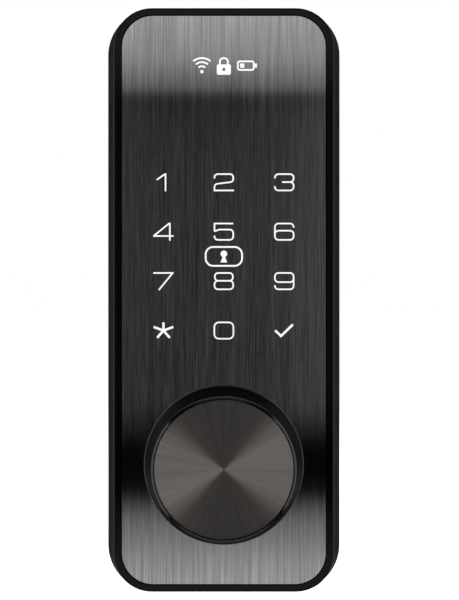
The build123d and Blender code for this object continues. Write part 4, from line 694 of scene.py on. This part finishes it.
@dataclass
class Controller(Assembly):
    """The main board, its chips and small parts, the radio and the harness socket."""

    nodes: tuple[str, ...] = (
        "main_board", "board_chips", "radio_module", "buzzer", "harness_socket",
        "flex_circuits", "board_screws",
    )
    board_back: float = 10.0
    chips: tuple[tuple[float, float, float, float, float], ...] = (
        (-8.0, 72.0, 10.0, 10.0, 1.0),
        (9.0, 76.0, 6.0, 6.0, 0.9),
        (-12.0, 52.0, 5.0, 4.0, 1.2),
        (-4.0, 52.0, 5.0, 4.0, 1.2),
        (-13.0, 90.0, 4.0, 3.0, 1.0),
    )
    leg_pitch: float = 0.65
    leg_width: float = 0.24
    leg_reach: float = 0.7
    leg_thick: float = 0.12
    leg_margin: float = 0.8
    # Where each section of a leg starts or ends, as shares of its reach.
    shoulder_to: float = 0.5
    drop_from: float = 0.4
    drop_to: float = 0.55
    foot_from: float = 0.45
    part_long: float = 1.6
    part_wide: float = 0.8
    part_tall: float = 0.45
    part_body: float = 0.7
    part_rows: tuple[float, ...] = (30.5, 44.5, 59.5, 63.0, 82.5, 85.5, 95.5, 98.5)
    part_count: int = 9
    part_from: float = -16.8
    part_pitch: float = 3.1
    part_stagger: float = 0.9
    part_bevel: float = 0.05
    end_from: float = 0.68
    end_proud: float = 0.02
    # The two lowest rows keep clear of the buzzer, and the lowest one is shorter still.
    busy_rows: tuple[float, ...] = (30.5, 44.5)
    busy_x: Limits = (-17.0, 2.0)
    low_row: float = 31.0
    low_row_from: float = -10.0
    pin_count: int = 8
    pin_pitch: float = 1.6
    pin_half: float = 0.32
    pin_depths: Limits = (5.17, 8.5)
    pin_bevel: float = 0.12

    def detail(self) -> list[Piece]:
        """Builds the chips' legs, the small ceramic parts and the socket's pins."""
        return [self.chip_legs(), *self.small_parts(), self.socket_pins()]

    def chip_legs(self) -> Piece:
        """Bends a row of gull-wing legs out of each side of each chip.

        Returns:
            The new piece, dressed and riding on its body.
        """
        mesh = bmesh.new()
        for x, z, width, height, tall in self.chips:
            shoulder = self.board_back - tall / 2
            for along, reach, upright in ((width, height, True), (height, width, False)):
                count = int((along - self.leg_margin) / self.leg_pitch)
                for n in range(count):
                    shift = (n - (count - 1) / 2) * self.leg_pitch
                    for way in (-1, 1):
                        self.leg(mesh, (x, z), shift, way * reach / 2, shoulder, upright)
        legs = mesh_object("chip_legs", mesh, False)
        self.shop.dress_piece(legs, "shield_tin", "lock_body")
        return legs

    def leg(
        self, mesh: Mesh, chip: tuple[float, float], shift: float, edge: float, shoulder: float,
        upright: bool,
    ) -> None:
        """Adds one leg: a shoulder, a drop and a foot.

        Args:
            mesh: The bmesh of all legs.
            chip: Centre of the chip.
            shift: Place of the leg along the chip's side.
            edge: Place of the chip's side, from its centre.
            shoulder: Depth at which the leg leaves the chip.
            upright: Whether the leg points up or down rather than sideways.
        """
        reach = math.copysign(self.leg_reach, edge)
        half, thick, back = self.leg_width / 2, self.leg_thick, self.board_back
        parts = (
            (0.0, self.shoulder_to, shoulder - thick / 2, shoulder + thick / 2),
            (self.drop_from, self.drop_to, shoulder, back),
            (self.foot_from, 1.0, back - thick, back),
        )
        for start, end, low, high in parts:
            near, far = edge + reach * start, edge + reach * end
            if upright:
                first = (chip[0] + shift - half, low, chip[1] + near)
                last = (chip[0] + shift + half, high, chip[1] + far)
            else:
                first = (chip[0] + near, low, chip[1] + shift - half)
                last = (chip[0] + far, high, chip[1] + shift + half)
            add_block(mesh, first, last)

    def small_parts(self) -> list[Piece]:
        """Sets rows of ceramic resistors and capacitors on the board, with tinned ends.

        Returns:
            The new pieces, dressed and riding on their bodies.
        """
        bodies, ends = bmesh.new(), bmesh.new()
        long, wide = self.part_long / 2, self.part_wide / 2
        back, low = self.board_back, self.board_back - self.part_tall
        for z in self.part_rows:
            stagger = self.part_stagger if int(z) % 2 else 0.0
            for n in range(self.part_count):
                x = self.part_from + self.part_pitch * n + stagger
                blocked = z in self.busy_rows and not self.busy_x[0] < x < self.busy_x[1]
                if blocked or (z < self.low_row and x > self.low_row_from):
                    continue
                half = long * self.part_body
                corner = (x + half, back, z + wide)
                add_block(bodies, (x - half, low, z - wide), corner, self.part_bevel)
                for way in (-1, 1):
                    near, far = x + way * long * self.end_from, x + way * long
                    corner = (near, low - self.end_proud, z - wide - self.end_proud)
                    far_corner = (far, back, z + wide + self.end_proud)
                    add_block(ends, corner, far_corner, self.part_bevel)
        parts = mesh_object("small_parts", bodies, False)
        tinned = mesh_object("small_part_ends", ends, False)
        self.shop.dress_piece(parts, "ceramic_tan", "lock_body", "connector_ivory")
        self.shop.dress_piece(tinned, "shield_tin", "lock_body")
        return [parts, tinned]

    def socket_pins(self) -> Piece:
        """Sleeves the harness socket's pins in gold-plated brass.

        Returns:
            The new piece, dressed and riding on its body.
        """
        low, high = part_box("harness_socket")
        middle = (low.z + high.z) / 2 / MM
        half, (near, far) = self.pin_half, self.pin_depths
        mesh = bmesh.new()
        for n in range(self.pin_count):
            x = (n - (self.pin_count - 1) / 2) * self.pin_pitch
            corner = (x + half, far, middle + half)
            add_block(mesh, (x - half, near, middle - half), corner, self.pin_bevel)
        pins = mesh_object("harness_pins", mesh, False)
        self.shop.dress_piece(pins, "contact_gold", "lock_body", "pinion_brass")
        return pins


@dataclass
class ClutchDrive(Assembly):
    """The gearmotor, its rack and pinion, the fork and the sleeve that it slides."""

    nodes: tuple[str, ...] = (
        "clutch_motor", "motor_shaft", "motor_pinion", "motor_strap", "shift_fork",
        "fork_guide_pin", "clutch_sleeve", "driver_dog", "spindle_hub", "shaft_circlip",
        "thrust_washer",
    )


@dataclass
class RearMount(Assembly):
    """The back plate, its gasket, the threaded posts and the tailpiece."""

    nodes: tuple[str, ...] = (
        "back_plate", "door_gasket", "mounting_posts", "tailpiece", "tailpiece_pin", "spindle_bush",
    )
    post_x: float = 19.05
    core_radius: float = 2.1
    thread_pitch: float = 0.8
    thread_radius: float = 0.16
    thread_from: float = -11.6
    thread_to: float = 2.0
    thread_steps: int = 20
    thread_sides: int = 4

    def detail(self) -> list[Piece]:
        """Winds a screw thread into each post's bore.

        Returns:
            The new pieces, dressed and riding on their bodies.
        """
        threads = []
        for name, way in (("post_thread_left", -1), ("post_thread_right", 1)):
            mesh = bmesh.new()
            turns = (self.thread_to - self.thread_from) / self.thread_pitch
            path = []
            for n in range(int(turns * self.thread_steps) + 1):
                angle = 2 * math.pi * n / self.thread_steps
                depth = self.thread_from + self.thread_pitch * n / self.thread_steps
                x = way * self.post_x + self.core_radius * math.cos(angle)
                path.append(Vector((x, -depth, self.core_radius * math.sin(angle))) * MM)
            add_tube(mesh, path, self.thread_radius, self.thread_sides)
            thread = mesh_object(name, mesh, False)
            self.shop.dress_piece(thread, "shaft_steel", "lock_body")
            threads.append(thread)
        return threads


@dataclass
class PowerPort(Assembly):
    """The emergency power socket in the lower wall, and its hinged cover."""

    nodes: tuple[str, ...] = ("power_socket", "port_board", "port_flap", "flap_pin")
    depth: float = 10.4
    wall_z: float = -38.727
    slope: float = 7.4
    contact_count: int = 6
    contact_pitch: float = 0.72
    contact_width: float = 0.34
    contact_sunk: float = 0.01
    contact_proud: float = 0.04
    contact_rise: Limits = (1.0, 4.4)
    contact_bevel: float = 0.012
    tongue_half: float = 0.3
    rib_x: tuple[float, ...] = (1.9, 2.9, 3.9, 4.9)
    rib_half: float = 1.7
    rib_radius: float = 0.2
    rib_sunk: float = 0.45
    rib_points: tuple[float, ...] = (-1.0, -0.5, 0.0, 0.5, 1.0)
    rib_sides: int = 12

    def detail(self) -> list[Piece]:
        """Adds the tongue's contacts and the cover's finger ribs."""
        return [self.contacts(), self.ribs()]

    def contacts(self) -> Piece:
        """Lays gold contact strips on both faces of the socket's tongue.

        Returns:
            The new piece, dressed and riding on its body.
        """
        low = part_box("power_socket")[0].z / MM
        mesh = bmesh.new()
        start, end = self.contact_rise
        for n in range(self.contact_count):
            x = (n - (self.contact_count - 1) / 2) * self.contact_pitch
            half = self.contact_width / 2
            for way in (-1, 1):
                near = self.depth + way * (self.tongue_half - self.contact_sunk)
                far = self.depth + way * (self.tongue_half + self.contact_proud)
                corner = (x + half, far, low + end)
                add_block(mesh, (x - half, near, low + start), corner, self.contact_bevel)
        contacts = mesh_object("socket_contacts", mesh, False)
        self.shop.dress_piece(contacts, "contact_gold", "lock_body", "pinion_brass")
        return contacts

    def ribs(self) -> Piece:
        """Raises finger ribs on the cover's outer face, near its free end.

        Returns:
            The new piece, dressed and riding on its body.
        """
        mesh = bmesh.new()
        tilt = math.radians(self.slope)
        along = Vector((0.0, -math.cos(tilt), math.sin(tilt)))
        outward = Vector((0.0, -math.sin(tilt), -math.cos(tilt)))
        origin = Vector((0.0, -self.depth, self.wall_z))
        for x in self.rib_x:
            middle = origin + Vector((x, 0.0, 0.0)) - outward * (self.rib_radius * self.rib_sunk)
            path = [(middle + along * (self.rib_half * t)) * MM for t in self.rib_points]
            add_tube(mesh, path, self.rib_radius, self.rib_sides)
        ribs = mesh_object("flap_ribs", mesh, True)
        self.shop.dress_piece(ribs, "flap_rubber", "flap")
        return ribs


@dataclass
class TurnKnob(Assembly):
    """The turn knob and its shaft, with the rings of its spun disc cut as real grooves."""

    nodes: tuple[str, ...] = (
        "knob_body", "knob_trim_ring", "knob_disc", "knob_screw", "knob_surround", "knob_shaft",
        "shaft_bush", "shaft_seal",
    )
    disc_radius: float = 19.8
    disc_edge: float = 0.12
    disc_back: float = 40.2
    disc_face: float = 41.45
    disc_steps: int = 240
    # Real lathe marks are about 0.1 mm apart. These are cut coarser, so that they work as geometry.
    groove_pitch: float = 0.5
    groove_deep: float = 0.009

    def detail(self) -> list[Piece]:
        """Turns the grooved disc.

        Returns:
            The new pieces, dressed and riding on their bodies.
        """
        profile = [(0.0, self.disc_back), (self.disc_radius, self.disc_back)]
        profile.append((self.disc_radius, self.disc_face - self.disc_edge))
        radius = self.disc_radius - self.disc_edge
        low = False
        while radius > self.groove_pitch:
            profile.append((radius, self.disc_face - (self.groove_deep if low else 0.0)))
            radius -= self.groove_pitch / 2
            low = not low
        profile.append((0.0, self.disc_face - self.groove_deep))
        disc = turned("knob_disc_turned", profile, self.disc_steps)
        self.shop.dress_piece(disc, "disc_spun", "knob")
        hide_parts("knob_disc")
        return [disc]


# ---------------------------------------------------------------- studio
class Angle(Enum):
    """The angles by which the surroundings are laid out, in degrees."""

    SIDE = "to the right of straight ahead"
    RISE = "above the horizon"
    OFF = "away from straight ahead"
    LEFT = "round the line of sight, up from the left"
    RIGHT = "round the line of sight, up from the right"


@dataclass(frozen=True)
class SoftBox:
    """One bright window of the surroundings, with its limits in two angles."""

    first: Angle
    first_limits: Limits
    second: Angle
    second_limits: Limits
    soft: float
    level: float


SOFT_BOXES: tuple[SoftBox, ...] = (
    # The left and right sides of the room, which the knob's disc and flank reflect.
    SoftBox(Angle.LEFT, (-43, 36), Angle.OFF, (27, 80), 5.0, 1.0),
    SoftBox(Angle.LEFT, (-43, 36), Angle.OFF, (27, 42), 5.0, 0.4),
    SoftBox(Angle.LEFT, (-42, -20), Angle.OFF, (26, 42), 6.0, 1.0),
    SoftBox(Angle.LEFT, (20, 35), Angle.OFF, (26, 42), 6.0, 0.4),
    SoftBox(Angle.RIGHT, (-37, 42), Angle.OFF, (27, 80), 7.0, 0.95),
    SoftBox(Angle.RIGHT, (-37, 42), Angle.OFF, (27, 42), 5.0, 0.3),
    SoftBox(Angle.RIGHT, (-36, -12), Angle.OFF, (26, 42), 6.0, 0.3),
    # Two faint ones ahead, which lift the left and right of the panel's dark area.
    SoftBox(Angle.SIDE, (-9, -2.6), Angle.RISE, (-3.4, 5.6), 1.4, 0.16),
    SoftBox(Angle.SIDE, (2.2, 9), Angle.RISE, (-3.4, 5.6), 1.4, 0.26),
    # Narrow strips square to the line of sight, which draw thin lines along bevels.
    SoftBox(Angle.LEFT, (-60, 60), Angle.OFF, (86, 96), 4.0, 3.2),
    SoftBox(Angle.RIGHT, (-60, 60), Angle.OFF, (86, 96), 4.0, 3.2),
    SoftBox(Angle.OFF, (86, 104), Angle.RISE, (-95, -30), 4.0, 2.4),
    # Low ones ahead and to the sides, which the panel reflects when it is seen from above.
    SoftBox(Angle.SIDE, (-32, 32), Angle.RISE, (-50, -24), 10.0, 0.04),
    SoftBox(Angle.LEFT, (-75, -46), Angle.OFF, (36, 60), 6.0, 0.16),
    SoftBox(Angle.RIGHT, (-75, -46), Angle.OFF, (36, 60), 6.0, 0.16),
    # Behind the lock, for views of the back plate.
    SoftBox(Angle.OFF, (106, 138), Angle.RISE, (-75, 75), 10.0, 0.5),
    SoftBox(Angle.OFF, (174, 190), Angle.RISE, (-20, 20), 4.0, 0.2),
    SoftBox(Angle.OFF, (140, 172), Angle.RISE, (-50, -14), 6.0, 0.4),
    # Underneath and overhead.
    SoftBox(Angle.OFF, (30, 140), Angle.RISE, (-100, -50), 16.0, 0.45),
    SoftBox(Angle.OFF, (30, 140), Angle.RISE, (55, 100), 16.0, 0.25),
)


@dataclass
class Studio:
    """Camera, floor, soft lights and surroundings."""

    camera_away: float = 0.6237
    camera_up: float = 0.048
    lens_mm: float = 123.55
    sensor_mm: float = 36.0
    shift_x: float = 0.0094
    clip_far: float = 100.0
    floor_drop: float = 0.06
    floor_size: float = 40.0
    floor_glow: float = 0.5
    # What gloss sees where there is no window, and what lights the matt pieces.
    dark_level: float = 0.003
    soft_level: float = 0.6
    # The bands that the panel reflects: the rise in degrees, and the level there.
    span: float = 12.0
    stops: tuple[tuple[float, float], ...] = (
        (-11.5, 0.1), (-10.5, 1.5), (-8.0, 1.2), (-7.2, 0.95), (-6.7, 0.68), (-6.1, 0.45),
        (-5.75, 0.22), (-5.35, 0.0), (-4.3, 0.0), (-3.6, 0.01), (-2.8, 0.02), (0.0, 0.03),
        (2.5, 0.03), (5.45, 0.01), (5.72, 0.015), (5.8, 0.34), (6.2, 0.58), (6.8, 0.95),
        (7.9, 1.25), (10.5, 1.5), (11.5, 0.1),
    )

    def build(self) -> None:
        """Sets up everything that isn't the lock."""
        self.camera()
        self.floor()
        self.world()
        self.lights()
        bpy.context.scene.view_settings.view_transform = "Standard"
        LOG.info("Studio: camera, floor, world and lights set")

    def camera(self) -> None:
        """Puts the camera level with the body's middle."""
        data = bpy.data.cameras.new("camera")
        data.lens = self.lens_mm
        data.sensor_width = self.sensor_mm
        data.shift_x = self.shift_x
        data.clip_end = self.clip_far
        camera = bpy.data.objects.new("camera", data)
        camera.location = (0.0, -self.camera_away, self.camera_up)
        camera.rotation_euler = (math.radians(90), 0.0, 0.0)
        bpy.context.scene.collection.objects.link(camera)
        bpy.context.scene.camera = camera

    def floor(self) -> None:
        """Lays a plain white floor below the lock, clear when looked at from underneath."""
        mesh = bmesh.new()
        bmesh.ops.create_grid(mesh, x_segments=1, y_segments=1, size=self.floor_size / 2)
        floor = mesh_object("floor", mesh, False)
        floor.location = (0.0, 0.0, CAD_BOX[0][2] - self.floor_drop)
        material = bpy.data.materials.new("studio floor, white paint")
        material.use_nodes = True
        tree = material.node_tree
        tree.nodes.clear()
        paint = add_node(tree, "BsdfPrincipled", None, {
            "Base Color": to_linear("f4f4f4"), "Roughness": 0.9,
            "Emission Color": to_linear("ffffff"), "Emission Strength": self.floor_glow,
        })
        clear = add_node(tree, "BsdfTransparent")
        side = add_node(tree, "NewGeometry")
        surface = add_node(tree, "MixShader", None, {
            0: side.outputs["Backfacing"], 1: paint.outputs[0], 2: clear.outputs[0],
        })
        add_node(tree, "OutputMaterial", None, {"Surface": surface.outputs[0]})
        floor.data.materials.append(material)
        floor.visible_glossy = False

    def world(self) -> None:
        """Surrounds the lock with a white room, and gives its gloss soft boxes to reflect."""
        world = bpy.data.worlds.new("studio")
        bpy.context.scene.world = world
        world.use_nodes = True
        world.cycles.sampling_method = "NONE"
        tree = world.node_tree
        tree.nodes.clear()
        coords = add_node(tree, "TexCoord")
        place = add_node(tree, "SeparateXYZ", None, {0: coords.outputs["Generated"]})
        x, y, z = (place.outputs[axis] for axis in "XYZ")
        multiply, add = {"operation": "MULTIPLY"}, {"operation": "ADD"}
        ahead = add_node(tree, "Math", multiply, {0: y, 1: -1.0}).outputs[0]
        other_way = add_node(tree, "Math", multiply, {0: x, 1: -1.0}).outputs[0]
        angles = {
            Angle.RISE: self.degrees(tree, "ARCSINE", z),
            Angle.OFF: self.degrees(tree, "ARCCOSINE", ahead),
            Angle.SIDE: self.degrees(tree, "ARCTAN2", x, ahead),
            Angle.LEFT: self.degrees(tree, "ARCTAN2", z, other_way),
            Angle.RIGHT: self.degrees(tree, "ARCTAN2", z, x),
        }
        across = add_node(tree, "MapRange", None, {
            "Value": angles[Angle.RISE], "From Min": -self.span, "From Max": self.span,
        })
        ramp = add_node(tree, "ValToRGB", None, {0: across.outputs[0]})
        elements = ramp.color_ramp.elements
        while len(elements) > 1:
            elements.remove(elements[-1])
        for index, (degrees, level) in enumerate(self.stops):
            position = (degrees + self.span) / (2 * self.span)
            stop = elements[0] if index == 0 else elements.new(position)
            stop.position = position
            stop.color = (level, level, level, 1.0)
        ahead_box = SoftBox(Angle.SIDE, (-24, 24), Angle.RISE, (-11.5, 11.5), 3.0, 1.0)
        centre = self.window(tree, angles, ahead_box)
        total = add_node(tree, "Math", multiply, {0: ramp.outputs[0], 1: centre}).outputs[0]
        for box in SOFT_BOXES:
            window = self.window(tree, angles, box)
            scaled = add_node(tree, "Math", multiply, {0: window, 1: box.level})
            total = add_node(tree, "Math", add, {0: total, 1: scaled.outputs[0]}).outputs[0]
        gloss = add_node(tree, "Math", add, {0: total, 1: self.dark_level})
        path = add_node(tree, "LightPath")
        soft = add_node(tree, "Mix", {"data_type": "FLOAT"}, {
            "Factor": path.outputs["Is Glossy Ray"], "A": self.soft_level, "B": gloss.outputs[0],
        })
        seen = add_node(tree, "Mix", {"data_type": "FLOAT"}, {
            "Factor": path.outputs["Is Camera Ray"], "A": soft.outputs[0], "B": 1.0,
        })
        back = add_node(tree, "Background", None, {
            "Color": to_linear("ffffff"), "Strength": seen.outputs[0],
        })
        add_node(tree, "OutputWorld", None, {"Surface": back.outputs[0]})

    def degrees(
        self, tree: Tree, operation: str, first: Socket, second: Socket | None = None
    ) -> Socket:
        """Works out an angle of the looked-at direction.

        Args:
            tree: The world's tree.
            operation: The arc function.
            first: Its first value.
            second: Its second value, if it has one.

        Returns:
            The angle, in degrees.
        """
        values = {0: first} if second is None else {0: first, 1: second}
        angle = add_node(tree, "Math", {"operation": operation}, values)
        return add_node(tree, "Math", {"operation": "DEGREES"}, {0: angle.outputs[0]}).outputs[0]

    def window(self, tree: Tree, angles: dict[Angle, Socket], box: SoftBox) -> Socket:
        """Draws one soft box in the surroundings.

        Args:
            tree: The world's tree.
            angles: The socket that gives each angle.
            box: The box. Its border is as wide as its softness, in degrees.

        Returns:
            A socket that is 1 inside the box and 0 outside it.
        """
        edges = []
        for kind, (low, high) in ((box.first, box.first_limits), (box.second, box.second_limits)):
            middle, half = (low + high) / 2, (high - low) / 2
            off = add_node(tree, "Math", {"operation": "SUBTRACT"}, {0: angles[kind], 1: middle})
            size = add_node(tree, "Math", {"operation": "ABSOLUTE"}, {0: off.outputs[0]})
            edge = add_node(tree, "MapRange", {"interpolation_type": "SMOOTHSTEP"}, {
                "Value": size.outputs[0], "From Min": half + box.soft / 2,
                "From Max": half - box.soft / 2,
            })
            edges.append(edge.outputs[0])
        both = add_node(tree, "Math", {"operation": "MULTIPLY"}, {0: edges[0], 1: edges[1]})
        return both.outputs[0]

    def lights(self) -> None:
        """Adds large soft lights that shape the matt pieces."""
        places: tuple[tuple[str, Point, float, float], ...] = (
            ("key", (-0.9, -1.2, 1.1), 0.9, 14.0),
            ("fill", (1.1, -1.1, 0.4), 0.9, 7.0),
            ("rear_left", (-0.9, 1.3, 0.9), 0.8, 16.0),
            ("rear_right", (1.0, 1.2, 0.7), 0.8, 12.0),
        )
        for name, place, size, power in places:
            data = bpy.data.lights.new(name, "AREA")
            data.size = size
            data.energy = power
            lamp = bpy.data.objects.new(name, data)
            lamp.location = place
            aim = Vector((0.0, 0.0, self.camera_up)) - Vector(place)
            lamp.rotation_euler = aim.to_track_quat("-Z", "Y").to_euler()
            lamp.visible_glossy = False
            lamp.visible_camera = False
            bpy.context.scene.collection.objects.link(lamp)


def main() -> None:
    """Builds the classes in order, then the studio."""
    logging.basicConfig(level=logging.INFO, format="%(message)s")
    shop = Workshop()
    for assembly in (
        Case(shop), TouchPanel(shop), KeypadStack(shop), Controller(shop), TurnKnob(shop),
        ClutchDrive(shop), RearMount(shop), PowerPort(shop),
    ):
        assembly.build()
    Studio().build()


if __name__ == "__main__":
    main()
